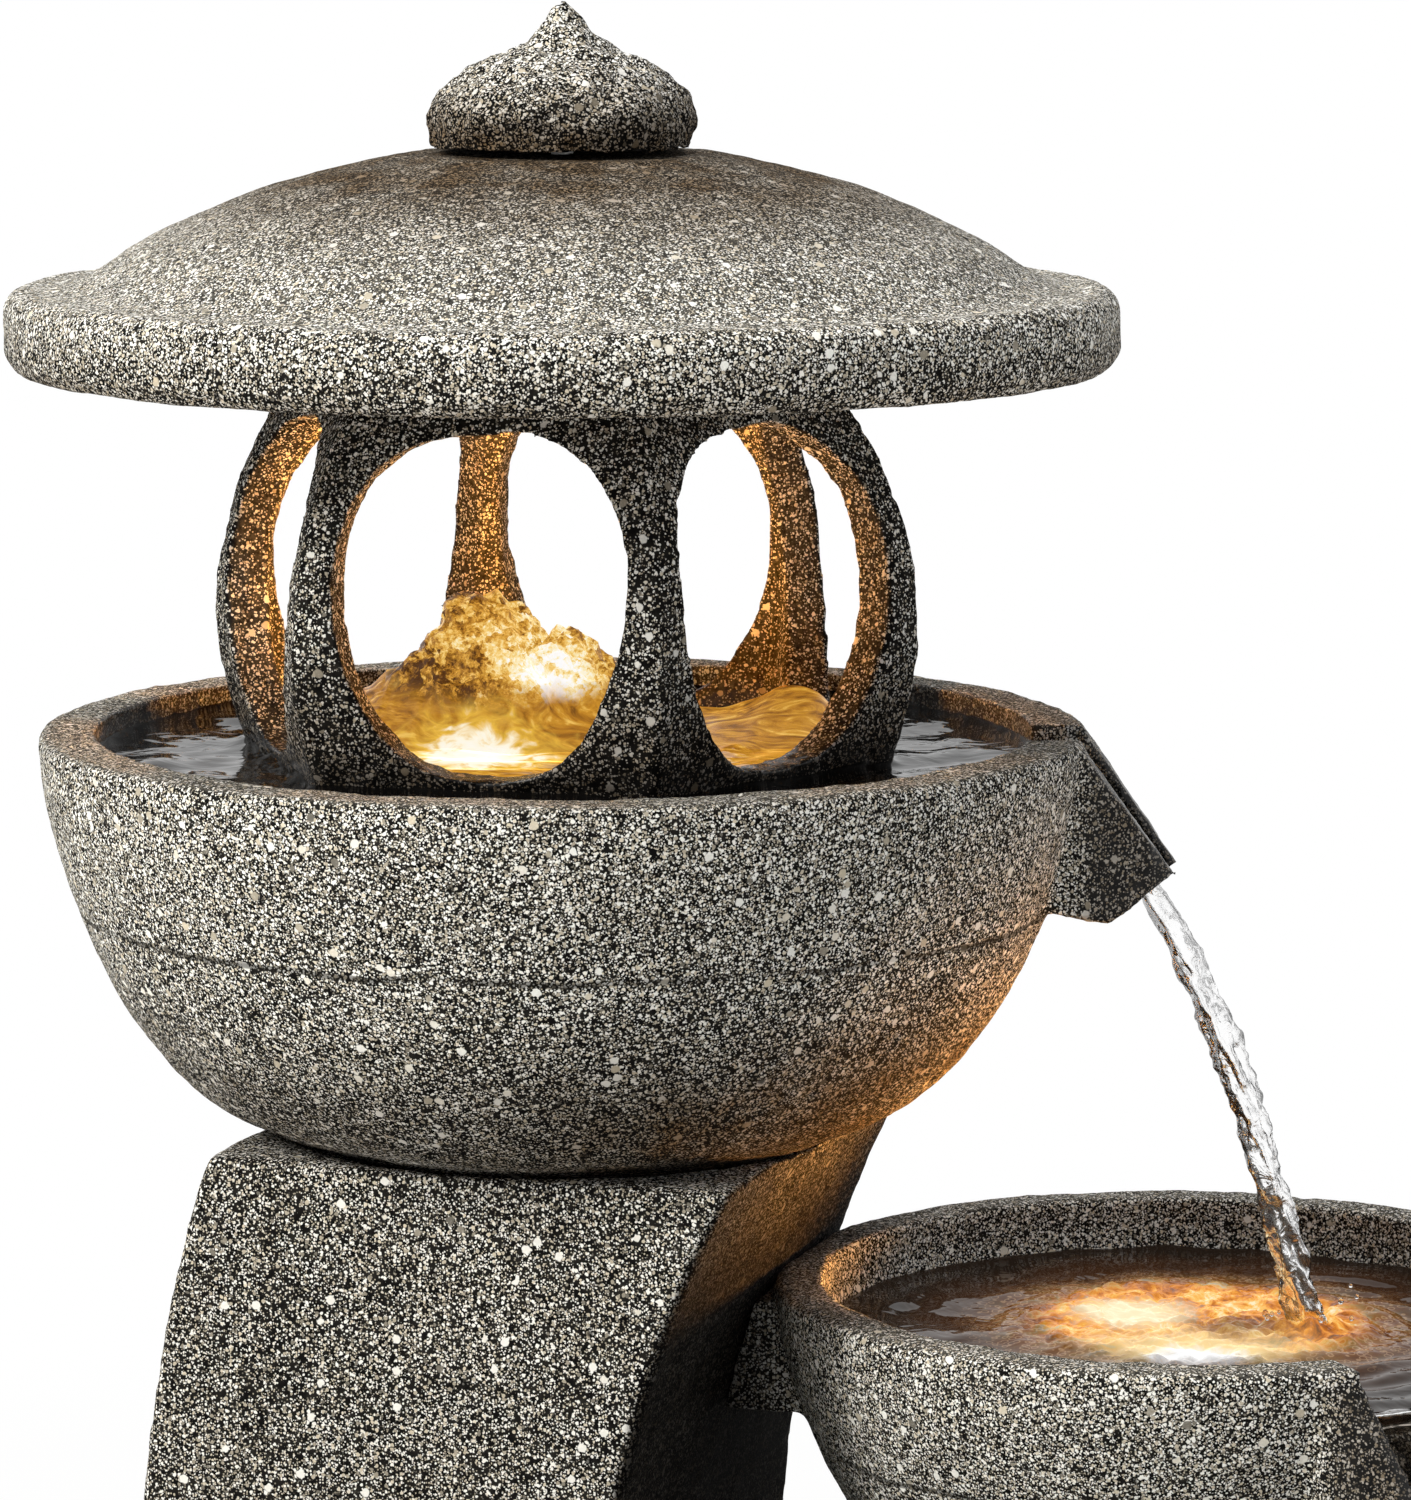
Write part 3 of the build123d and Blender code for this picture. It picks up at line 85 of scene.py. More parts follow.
class WaterSettings(PropertyGroup):
    """Levels and flow of the water."""
    lantern_level: FloatProperty(name="Lantern bowl level", description="Water level", default=0.4445, unit="LENGTH")
    side_level: FloatProperty(name="Side bowl level", description="Water level", default=0.284, unit="LENGTH")
    basin_level: FloatProperty(name="Basin level", description="Water level", default=0.112, unit="LENGTH")
    ripple: FloatProperty(name="Ripple", description="Height of the ripples", default=0.0009, unit="LENGTH")
    mound_height: FloatProperty(name="Bubbling height", description="Over the water", default=0.038, unit="LENGTH")
    outward_speed: FloatProperty(name="Outward speed", description="Metres a second at the spout", default=0.42)


class GlowSettings(PropertyGroup):
    """The warm underwater lights."""
    warm: StringProperty(name="Warm light", description="Colour of the light, sRGB hex", default="FFB254")
    hot: StringProperty(name="Hot centre", description="Colour over the lamp, sRGB hex", default="FFF8E2")
    amber: StringProperty(name="Amber water", description="Lit water round the lamp, sRGB hex", default="A9701F")
    brown: StringProperty(name="Brown folds", description="Lit water in its folds, sRGB hex", default="5A3512")
    lantern_power: FloatProperty(name="Lantern lamp", description="Light in the lantern", default=0.72, unit="POWER")
    side_power: FloatProperty(name="Side lamp", description="Light over the side bowl", default=0.26, unit="POWER")


class StageSettings(PropertyGroup):
    """Camera, floor and studio light."""
    camera_place: FloatVectorProperty(name="Camera", description="Camera position", subtype="XYZ", unit="LENGTH",
                                      default=(0.5979, -1.6978, 0.7156))
    camera_turn: FloatProperty(name="Camera turn", description="Turn from looking along +Y", subtype="ANGLE",
                               default=math.radians(18.16))
    camera_dip: FloatProperty(name="Camera dip", description="Angle below level", subtype="ANGLE",
                              default=math.radians(8.56))
    lens: FloatProperty(name="Lens", description="Focal length for a 36 mm sensor", default=158.4, unit="CAMERA")
    key: FloatProperty(name="Key light", description="Soft light from the upper left", default=70.0, unit="POWER")
    top: FloatProperty(name="Top light", description="Soft light from above", default=20.0, unit="POWER")
    fill: FloatProperty(name="Fill light", description="Weak light from the right", default=4.0, unit="POWER")
    ambient: FloatProperty(name="Ambient", description="Even light from all round", default=0.38)
    floor: StringProperty(name="Floor", description="Floor colour, sRGB hex", default="F4F3F0")
    floor_size: FloatProperty(name="Floor size", description="Side of the floor", default=14.0, unit="LENGTH")


def linear(code):
    """An sRGB hex colour as linear RGBA."""
    channels = [int(code[i:i + 2], 16) / 255 for i in (0, 2, 4)]
    return tuple(c / 12.92 if c <= 0.04045 else ((c + 0.055) / 1.055) ** 2.4 for c in channels) + (1.0,)


def fit(thing, **settings):
    """Set several properties of a thing, and return it."""
    for key, value in settings.items():
        setattr(thing, key, value)
    return thing


def join(node, inputs):
    """Set a node's inputs, in order or by name: a socket is linked, a hex colour or another value is set."""
    for key, value in (inputs if isinstance(inputs, dict) else dict(enumerate(inputs))).items():
        if isinstance(value, bpy.types.NodeSocket):
            node.id_data.links.new(value, node.inputs[key])
        else:
            node.inputs[key].default_value = linear(value) if isinstance(value, str) else value


def add(tree, kind, inputs=(), stops=(), **settings):
    """Add a node with its settings and inputs, a ramp with its (place, colour or grey) stops. Returns its outputs."""
    node = fit(tree.nodes.new("ShaderNode" + kind), **settings)
    join(node, inputs)
    for _ in stops[2:]:
        node.color_ramp.elements.new(0.5)
    for element, (place, colour) in zip(node.color_ramp.elements if stops else (), stops):
        element.position = place
        element.color = linear(colour) if isinstance(colour, str) else (colour, colour, colour, 1)
    return node.outputs


def node_of(tree, kind):
    """The tree's only node of this type."""
    return next(node for node in tree.nodes if node.type == kind)


def new_material(name):
    """A material, its tree, its Principled shader, and places in millimetres that ride with the piece."""
    material = bpy.data.materials.new(name)
    material.use_nodes = True
    tree = material.node_tree
    place = add(tree, "Mapping", {"Vector": add(tree, "TexCoord")["Object"], "Scale": (1 / MM, 1 / MM, 1 / MM)})[0]
    return material, tree, node_of(tree, "BSDF_PRINCIPLED"), place


def weighted(tree, *terms):
    """Sum of patterns, each times its weight."""
    total = 0.0
    for pattern, weight in terms:
        total = add(tree, "Math", (pattern, weight, total), operation="MULTIPLY_ADD")[0]
    return total


def lay(tree, base, *layers, blend="MIX"):
    """Lay colours over a base in turn. A layer has a pattern, its cover (a share or a ramp's stops) and a colour."""
    for pattern, cover, colour in layers:
        if isinstance(cover, tuple):
            mask = add(tree, "ValToRGB", (pattern,), cover)[0]
        else:
            mask = add(tree, "Math", (pattern, cover), operation="MULTIPLY")[0]
        base = add(tree, "Mix", {0: mask, 6: base, 7: colour}, data_type="RGBA", blend_type=blend)[2]
    return base


def push_about(tree, place, amount, pattern):
    """Places pushed about by a noise, by up to half the amount in millimetres, so that what they draw isn't regular."""
    push = add(tree, "TexNoise", {"Vector": place, **pattern})["Color"]
    push = add(tree, "VectorMath", (push, (0.5, 0.5, 0.5)), operation="SUBTRACT")[0]
    push = add(tree, "VectorMath", {0: push, "Scale": amount}, operation="SCALE")[0]
    return add(tree, "VectorMath", (place, push), operation="ADD")[0]


def away_from(tree, place, point, unit, uneven=0.5, amount=0.0):
    """Distance from a point, in units of so many millimetres. A pattern makes its contours uneven by an amount."""
    plain = add(tree, "VectorMath", (place, tuple(v / MM for v in point)), operation="DISTANCE")["Value"]
    rough = add(tree, "Math", (uneven, amount, plain), operation="MULTIPLY_ADD")[0]
    return add(tree, "Math", (rough, 1 / unit, -0.5 * amount / unit), operation="MULTIPLY_ADD")[0]


def chip_layer(tree, place, spacing, share, radius, seed, edge=0.04):
    """One size of chips, angular like crushed granite: how much of a point is chip, and a random value for each."""
    shifted = add(tree, "VectorMath", (place, (seed, -seed, seed / 2)), operation="ADD")[0]
    cells = add(tree, "TexVoronoi", {"Vector": shifted, "Scale": 1 / spacing})
    tone = add(tree, "SeparateColor", (cells["Color"],))
    chosen = add(tree, "Math", (tone[0], share), operation="LESS_THAN")[0]
    inside = add(tree, "ValToRGB", (cells["Distance"],), ((radius - edge, 1.0), (radius + edge, 0.0)))[0]
    return add(tree, "Math", (chosen, inside), operation="MULTIPLY")[0], tone[1]


# What each stone piece keeps for every point, from 0 to 1: where it is rubbed, stained or tinted by painted warm glow,
# wet and glossy, dusty, darkened by grime or by painted shade, and where its outer face shows the mould's seam
WEATHER = ("wear", "patina", "wet", "dust", "damp", "outer")


def make_cast_stone(name, seam_level=None):
    """Cast stone, washed so that the granite chips show: a matt, speckled face with pits, dark and glossy where wet,
    darkened by grime and by painted shade, and browned by patina and by painted warm glow.
    """
    stone = bpy.context.scene.fountain_stone
    material, tree, shader, place = new_material(name)
    wear, stain_and_glow, wet, dust, damp = (add(tree, "Attribute", attribute_name=key)["Fac"] for key in WEATHER[:5])
    bent = push_about(tree, place, 1.0, {"Scale": 0.9, "Detail": 2.0})
    patches = add(tree, "TexNoise", {"Vector": place, "Scale": 0.045, "Detail": 4.0, "Roughness": 0.65})[0]
    share = weighted(tree, (add(tree, "MapRange", (patches, 0.3, 0.7, 0.51, 0.97))[0], 1.0), (wear, 0.7))
    clean = weighted(tree, (dust, -0.7), (1.0, 1.0))
    bare = add(tree, "Math", (share, clean), operation="MULTIPLY")[0]
    cloud = add(tree, "TexNoise", {"Vector": place, "Scale": 0.25, "Detail": 4.0})[0]
    film = add(tree, "TexNoise", {"Vector": place, "Scale": 0.9, "Detail": 3.0, "Roughness": 0.7})[0]
    film = add(tree, "ValToRGB", (film,), ((0.38, 0.1), (0.62, 0.9)))[0]
    film = add(tree, "Math", (dust, film), operation="MULTIPLY")[0]
    base = lay(tree, stone.matrix, (cloud, ((0.4, 0.0), (0.75, 1.0)), stone.matrix_pale), (film, 1.0, stone.dust))
    tones = ((0.0, stone.chip_grey), (0.34, stone.chip_beige), (0.6, stone.chip_white), (1.0, stone.chip_white))
    chips = {}
    # Finest first. Each size has its places, its room, its share of that, its radius in spacings, a seed and its cover
    for size, at, room, part, radius, seed, cover in (
            ("fine", place, share, 0.62, 0.42, 87.0, 0.8), ("medium", bent, share, 0.52, 0.39, 41.0, 0.95),
            ("coarse", bent, bare, 0.38, 0.38, 19.0, 1.0), ("large", bent, bare, 0.055, 0.40, 0.0, 0.92)):
        part = add(tree, "Math", (room, part), operation="MULTIPLY")[0]
        chips[size], tone = chip_layer(tree, at, getattr(stone, size), part, radius, seed)
        base = lay(tree, base, (chips[size], cover, add(tree, "ValToRGB", (tone,), tones)[0]))
    pit = chip_layer(tree, bent, stone.pit_spacing, weighted(tree, (stain_and_glow, 0.55), (1.0, 0.12)), 0.115, 0.0, 0.035)[0]
    blotch = add(tree, "TexNoise", {"Vector": place, "Scale": 0.06, "Detail": 5.0, "Roughness": 0.65})[0]
    blotch = add(tree, "ValToRGB", (blotch,), ((0.3, 0.5), (0.6, 1.0)))[0]
    # Darkened where wet, and where grime or painted shade lies: one near-black multiplies both
    darkened = add(tree, "Math", (weighted(tree, (wet, 0.78)), damp), operation="MAXIMUM")[0]
    base = lay(tree, base, (pit, 0.85, "0B0A09"))
    # The patina colour lays real stains and, on some pieces, painted warm glow
    base = lay(tree, base, (stain_and_glow, blotch, stone.patina), (darkened, 1.0, "1A1510"), blend="MULTIPLY")
    sand = add(tree, "TexNoise", {"Vector": place, "Scale": 1.6, "Detail": 3.0})[0]
    height = weighted(tree, (chips["coarse"], 0.18), (chips["medium"], 0.12), (sand, 0.5), (pit, -1.6))
    if seam_level is not None:
        outer = add(tree, "Attribute", attribute_name="outer")["Fac"]
        wander = add(tree, "TexNoise", {"Vector": place, "Scale": 0.03, "Detail": 2.0})[0]
        above = add(tree, "SeparateXYZ", (place,))[2]
        off = weighted(tree, (above, 1.0), (wander, 5.0), (1.0, -seam_level / MM - 2.5))
        off = add(tree, "Math", (off,), operation="ABSOLUTE")[0]
        seam = add(tree, "ValToRGB", (off,), ((0.0, 1.0), (0.6, 0.95), (0.95, 0.25), (1.0, 0.0)))[0]
        for cover in (add(tree, "ValToRGB", (wander,), ((0.36, 0.35), (0.5, 1.0)))[0], outer):
            seam = add(tree, "Math", (seam, cover), operation="MULTIPLY")[0]
        # The seam's groove, which the bump sinks, drawn dark with a soft darkening round it: painted shade in and
        # beside the groove
        base = lay(tree, base, (seam, 0.75, "15130F"))
        height = weighted(tree, (height, 1.0), (seam, -0.8))
    join(shader, {
        "Base Color": base, "Roughness": add(tree, "MapRange", (wet, 0.0, 1.0, 0.92, 0.5))[0],
        "Normal": add(tree, "Bump", {"Strength": 0.8, "Distance": 0.5 * MM, "Height": height})[0],
        "Coat Weight": weighted(tree, (wet, 0.8)), "Coat Roughness": 0.22, "Coat IOR": 1.33,
        "IOR": 1.5, "Specular IOR Level": 0.06})
    return material


def link_piece(name, data):
    """A new object in the scene."""
    piece = bpy.data.objects.new(name, data)
    bpy.context.scene.collection.objects.link(piece)
    return piece


def smooth_mesh(name, points, faces):
    """Mesh from points and faces, shaded smooth."""
    mesh = bpy.data.meshes.new(name)
    mesh.from_pydata([tuple(point) for point in points], [], faces)
    mesh.update()
    mesh.shade_smooth()
    return mesh


def as_arrays(mesh):
    """Vertex positions and normals of a mesh."""
    places = np.zeros(len(mesh.vertices) * 3, np.float32)
    normals = np.zeros(len(mesh.vertices) * 3, np.float32)
    mesh.vertices.foreach_get("co", places)
    mesh.vertex_normals.foreach_get("vector", normals)
    return places.reshape(-1, 3), normals.reshape(-1, 3)


def store(mesh, name, values):
    """Keep one number for each vertex, for the materials to read."""
    layer = mesh.attributes.new(name, "FLOAT", "POINT")
    layer.data.foreach_set("value", np.clip(values, 0, 1).astype(np.float32))


def lumps(kind, size, name, **settings):
    """Procedural height pattern for the carving modifiers."""
    return fit(bpy.data.textures.new(name, kind), noise_scale=size, **settings)


def holes(size, width, name):
    """Height pattern of scattered round pits: the height falls at each pit."""
    texture = lumps("VORONOI", size, name, use_color_ramp=True)
    first, last = texture.color_ramp.elements
    first.position, first.color = width * 0.4, (1, 1, 1, 1)
    last.position, last.color = width, (0, 0, 0, 1)
    return texture


def carve(node, name, body, cell, broad, chip, chip_size, smooth=3, pit=0.0, pit_size=0.009, level=0.78):
    """Hand-tooled copy of a stone solid: an even fine mesh, its edges eased, then worn, chipped and pitted inwards."""
    piece = link_piece(name, frame["nodes"][node].data.copy())
    fit(piece.modifiers.new("even mesh", "REMESH"), mode="VOXEL", voxel_size=cell)
    fit(piece.modifiers.new("eased edges", "SMOOTH"), factor=0.5, iterations=smooth)
    layers = [(lumps("CLOUDS", 0.028, f"{name}_hand_work", noise_depth=2), level, broad),
              (lumps("CLOUDS", chip_size, f"{name}_chips", noise_depth=2), level, chip)]
    if pit:
        layers.append((holes(pit_size, 0.16, f"{name}_pits"), 0.0, -pit))
    for texture, middle, strength in layers:
        fit(piece.modifiers.new(texture.name, "DISPLACE"), texture=texture, texture_coords="LOCAL", mid_level=middle,
            strength=strength)
    graph = bpy.context.evaluated_depsgraph_get()
    mesh = bpy.data.meshes.new_from_object(piece.evaluated_get(graph))
    piece.modifiers.clear()
    piece.data = mesh
    mesh.materials.clear()
    mesh.shade_smooth()
    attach(piece, body)
    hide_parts(node)
    return piece


def step(values, low, high):
    """Smooth rise from 0 at low to 1 at high."""
    share = np.clip((values - low) / (high - low), 0, 1)
    return share * share * (3 - 2 * share)


def finish_stone(piece, material, wear, patina, wet, dust=0.0, damp=0.0, outer=0.0):
    """Give a carved piece its material, with where it is rubbed, stained or tinted by painted warm glow, wet, dusty,
    and darkened by grime or by painted shade.
    """
    for key, values in zip(WEATHER, (wear, patina, wet, dust, damp, outer)):
        store(piece.data, key, values + np.zeros(len(piece.data.vertices)))
    piece.data.materials.append(material)


def stone_material(key, seam_level=None):
    """The cast stone of this name, made when it is first asked for."""
    return bpy.data.materials.get(key) or make_cast_stone(key, seam_level)


def blunt_tip(mesh, top, depth, width):
    """Draw a point on the lantern's axis up to its full height and round it off, no slimmer than a dome this size."""
    cut = 1.5 * MM
    tip = max(vertex.co.z for vertex in mesh.vertices) - cut
    missing = top - tip
    for vertex in mesh.vertices:
        vertex.co.z = min(vertex.co.z, tip)
        vertex.co.z += missing * float(step(vertex.co.z, tip - 2.5 * depth, tip))
        reach = math.hypot(vertex.co.x, vertex.co.y)
        least = width * math.sqrt(max(0.0, top - vertex.co.z) / depth)
        if top - depth < vertex.co.z and 0 < reach < least:
            vertex.co.x *= least / reach
            vertex.co.y *= least / reach
    mesh.update()


def top_of(node):
    """Middle of a node's box at its top."""
    low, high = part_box(node)
    return Vector(((low.x + high.x) / 2, (low.y + high.y) / 2, high.z))


# The bowls in metres: outer radius, rim's height, depth of the notch for the spout, the spout's heading from +X, and
# how far under the rim the mould's seam runs. Then the spouts' channels: slope, drop of the lip and thickness of stone
Bowl = namedtuple("Bowl", "node centre radius rim notch heading seam")
UPPER_BOWL = Bowl("upper_bowl", Vector((0, 0)), 0.145, 0.452, 0.014, math.radians(13.5), 0.048)
SIDE_BOWL = Bowl("side_bowl", top_of("side_bowl_plug").xy, 0.1137, 0.300, 0.019, math.radians(-45), 0.042)
CHANNEL_SLOPE = math.radians(54)
CHANNEL_DROP, CHANNEL_FLOOR = 0.038, 0.012


class FOUNTAIN_OT_roof(Operator):
    """Carve the lantern's roof and finial"""
    bl_idname = "fountain.roof"
    bl_label = "Roof and finial"

    def execute(self, context):
        low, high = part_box("roof")
        radius = high.x
        roof = carve("roof", "carved_roof", "roof", cell=0.0014, broad=0.0012, chip=0.0006, chip_size=0.006, pit=0.0009,
                     pit_size=0.014)
        places, normals = as_arrays(roof.data)
        reach = np.hypot(places[:, 0], places[:, 1])
        band = step(reach, radius * 0.93, radius * 0.99)
        lip = band * step(places[:, 2], low.z + 0.008, low.z + 0.017)
        crown = 1 - step(reach, 0.045, 0.128)
        top = step(normals[:, 2], 0.1, 0.6)
        under = step(-normals[:, 2], 0.2, 0.8)
        finish_stone(roof, stone_material("cast_stone"), wear=0.46 + lip * 1.2 + top * 0.35 * (1 - crown),
                     patina=crown * top * 1.3 + 0.4 * under + 0.25 * band * (1 - lip), wet=0,
                     dust=0.4 * top * (1 - 0.9 * lip), damp=0.22 * crown * top)
        finial = carve("finial", "carved_finial", "roof", cell=0.0010, broad=0.0040, chip=0.0032, chip_size=0.0060,
                       smooth=7, pit=0.0024)
        blunt_tip(finial.data, top_of("finial").z, depth=0.011, width=0.0066)
        places, normals = as_arrays(finial.data)
        foot = 1 - step(places[:, 2], high.z, high.z + 0.027)
        finish_stone(finial, stone_material("cast_stone"), wear=0.85 - 0.45 * foot, patina=0.05 + foot, wet=0,
                     damp=0.22 * foot)
        return {"FINISHED"}


class FOUNTAIN_OT_cage(Operator):
    """Carve the lantern's six-sided cage"""
    bl_idname = "fountain.cage"
    bl_label = "Lantern cage"

    def execute(self, context):
        level = context.scene.fountain_water.lantern_level
        cage = carve("lantern_cage", "carved_cage", "lantern", cell=0.0012, broad=0.0020, chip=0.0012, chip_size=0.0055,
                     smooth=5, pit=0.0004, pit_size=0.012, level=0.6)
        places, normals = as_arrays(cage.data)
        splash = 1 - step(places[:, 2], level + 0.004, level + 0.038)
        soak = 1 - step(places[:, 2], level + 0.003, level + 0.014)
        reach = np.hypot(places[:, 0], places[:, 1])
        inner = step(-(normals[:, 0] * places[:, 0] + normals[:, 1] * places[:, 1]) / reach, 0.0, 0.5)
        # The outer faces are kept a little darker than the inner ones
        finish_stone(cage, stone_material("cast_stone"), wear=0, patina=0.12 + splash * 0.7 + inner * 0.3,
                     wet=soak * 0.85, dust=0.3 * inner, damp=0.10 * (1 - inner))
        return {"FINISHED"}


class FOUNTAIN_OT_bowls(Operator):
    """Carve the lantern bowl and the side bowl with their spouts"""
    bl_idname = "fountain.bowls"
    bl_label = "Bowls"

    def execute(self, context):
        water = context.scene.fountain_water
        for bowl, level in ((UPPER_BOWL, water.lantern_level), (SIDE_BOWL, water.side_level)):
            name = "carved_" + bowl.node
            upper, radius, rim = bowl is UPPER_BOWL, bowl.radius, bowl.rim
            piece = carve(bowl.node, name, "root", cell=0.0015, broad=0.0014, chip=0.0007, chip_size=0.006, pit=0.0008,
                          pit_size=0.016)
            places, normals = as_arrays(piece.data)
            x, y, z = places[:, 0] - bowl.centre.x, places[:, 1] - bowl.centre.y, places[:, 2]
            along = x * math.cos(bowl.heading) + y * math.sin(bowl.heading)
            beside = np.abs(-x * math.sin(bowl.heading) + y * math.cos(bowl.heading))
            inside = (1 - step(np.hypot(x, y), radius - 0.0165, radius - 0.0145)) * step(z, rim - 0.047, rim - 0.043)
            spout = step(along, radius - 0.006, radius + 0.004)
            channel = (1 - step(beside, 0.012, 0.016)) * step(along, radius * 0.8, radius * 0.86)
            channel *= step(z, rim - 0.06, rim - 0.03)
            flat_rim = step(normals[:, 2], 0.55, 0.9) * step(z, rim - 0.006, rim - 0.003)
            belt = step(z, rim - 0.09, rim - 0.012)
            below = 1 - step(z, rim - 0.10, rim - 0.06)
            # Painted warm glow: the lantern bowl's lower right belly is browned by the patina as if lit by the side
            # lamp below
            lit_side = upper * step(x, 0.0, 0.09) * (1 - step(z, rim - 0.10, rim - 0.05))
            # Painted shade: the side bowl's outer face on the left, towards the pillar, goes near black
            shaded = (not upper) * (1 - step(x, -radius - 0.008, -0.086)) * (1 - inside)
            soak = np.maximum(inside * (1 - 0.55 * step(z, level + 0.001, level + 0.008)), channel * 0.9)
            patina = 0.6 * (1 - step(z, rim - 0.11, rim - 0.05)) + 0.12 * flat_rim + 0.15 * inside + 0.8 * lit_side
            finish_stone(
                piece, stone_material(name + "_stone", rim - bowl.seam),
                wear=0.2 + (0.1 + belt * 0.55) * (1 - inside) * (1 - 0.6 * flat_rim) * (1 - spout),
                patina=np.maximum(patina, 0.7 * spout), wet=np.maximum(soak, 0.45 * spout),
                dust=0.5 * flat_rim + 0.35 * inside,
                # Painted shade: darker on the lower belly and the right side, near black on the side bowl by the pillar
                damp=np.maximum(0.9 * shaded, (0.16 * below + 0.14 * step(x, 0.0, 0.10)) * (1 - inside)),
                outer=(1 - inside) * (1 - spout))
        return {"FINISHED"}


class FOUNTAIN_OT_pillar(Operator):
    """Carve the pillar and its access door"""
    bl_idname = "fountain.pillar"
    bl_label = "Pillar and door"

    def execute(self, context):
        level = context.scene.fountain_water.basin_level
        for node, name, body, cell in (("pillar", "carved_pillar", "root", 0.0017),
                                       ("access_door", "carved_door", "access_door", 0.0014)):
            piece = carve(node, name, body, cell, broad=0.0012, chip=0.0006, chip_size=0.006, smooth=7)
            places, normals = as_arrays(piece.data)
            soak = 1 - step(places[:, 2], level, level + 0.012)
            # The right face gets painted shade, less near the top where the side lamp's glow falls, and a brown patina
            # tint that is painted warm glow
            right = step(normals[:, 0], 0.35, 0.8) * (places[:, 0] > 0)
            patina = 0.4 * right + 0.3 * (1 - step(places[:, 2], level, level + 0.05))
            finish_stone(piece, stone_material("cast_stone"), wear=0.3, patina=0.15 + patina, wet=soak,
                         damp=right * (0.92 - 0.3 * step(places[:, 2], 0.30, 0.35)))
        return {"FINISHED"}


class FOUNTAIN_OT_basin(Operator):
    """Carve the base basin"""
    bl_idname = "fountain.basin"
    bl_label = "Base basin"

    def execute(self, context):
        level = context.scene.fountain_water.basin_level
        basin = carve("base_basin", "carved_basin", "root", cell=0.0032, broad=0.0014, chip=0.0006, chip_size=0.008)
        low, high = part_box("base_basin")
        centre, radius = (low + high) / 2, (high.x - low.x) / 2
        places, normals = as_arrays(basin.data)
        reach = np.hypot(places[:, 0] - centre.x, places[:, 1] - centre.y)
        outward = (normals[:, 0] * (places[:, 0] - centre.x) + normals[:, 1] * (places[:, 1] - centre.y)) / reach
        inside = 1 - step(reach, radius - 0.016, radius - 0.012)
        inside *= (1 - step(outward, 0.1, 0.4)) * step(normals[:, 2], -0.5, -0.2)
        soak = inside * (1 - step(places[:, 2], level + 0.001, level + 0.008))
        wear = 0.55 * step(places[:, 2], high.z - 0.05, high.z) * (1 - inside)
        patina = 0.3 * (1 - step(places[:, 2], 0.0, 0.07))
        finish_stone(basin, stone_material("cast_stone"), wear=0.1 + wear, patina=patina, wet=soak * 0.6)
        return {"FINISHED"}


# Water
WATER_IOR = 1.333


def make_clear_water(name, tint, rough, darken):
    """Moving water: clear and smooth. Its steep edges and folds are painted dark grey: a painted reflection in place of
    light bent from dark places.
    """
    material, tree, shader, place = new_material(name)
    waves = add(tree, "TexNoise", {"Vector": place, "Scale": 0.22, "Detail": 3.0, "Distortion": 1.6})[0]
    bump = add(tree, "Bump", {"Strength": 0.5, "Distance": 1.6 * MM, "Height": waves})[0]
    join(shader, {"Normal": bump, "Base Color": tint, "Roughness": rough, "IOR": WATER_IOR, "Transmission Weight": 1.0})
    if darken:
        # Painted dark refraction: a dark gloss mixed in where the surface turns away
        facing = add(tree, "LayerWeight", {"Blend": 0.4, "Normal": bump})["Facing"]
        share = add(tree, "ValToRGB", (facing,), ((0.36, 0.0), (0.66, darken)))[0]
        edge = add(tree, "BsdfPrincipled", {"Base Color": "2A2B2B", "Roughness": 0.12, "IOR": WATER_IOR})[0]
        join(node_of(tree, "OUTPUT_MATERIAL"), add(tree, "MixShader", (share, shader.outputs[0], edge))[:1])
    return material


def make_shallow_water(name):
    """A thin sheet of running water over wet stone: nearly unseen, with soft glints on its ripples."""
    material, tree, shader, place = new_material(name)
    waves = add(tree, "TexNoise", {"Vector": place, "Scale": 0.16, "Detail": 3.0, "Distortion": 1.0})[0]
    join(shader, {
        "Normal": add(tree, "Bump", {"Strength": 0.4, "Distance": 1.0 * MM, "Height": waves})[0],
        "Base Color": lay(tree, "8E857A", (waves, 1.0, "B7B0A6")),
        "Roughness": 0.04, "IOR": 1.08, "Transmission Weight": 1.0})
    return material


def set_pond(tree, shader, place, colour):
    """Still water's gloss over painted lamp light, given as emission: near black where no lamp shines, with soft broad
    ripples.
    """
    waves = add(tree, "TexNoise", {"Vector": place, "Scale": 0.06, "Detail": 2.0, "Distortion": 1.5})[0]
    join(shader, {
        "Normal": add(tree, "Bump", {"Strength": 0.35, "Distance": 1.2 * MM, "Height": waves})[0],
        "Emission Color": colour, "Emission Strength": 1.0, "Base Color": "0D0C0B", "Roughness": 0.05,
        "IOR": WATER_IOR, "Specular IOR Level": 0.16})


def make_lantern_water(name, hot_spot, middle, keep):
    """Water in the lantern bowl, with painted lamp light: white-hot over the lamp, golden and streaked inside the cage,
    black outside it.
    """
    material, tree, shader, place = new_material(name)
    set_pond(tree, shader, place, lit_pool(tree, place, hot_spot, middle, keep))
    return material


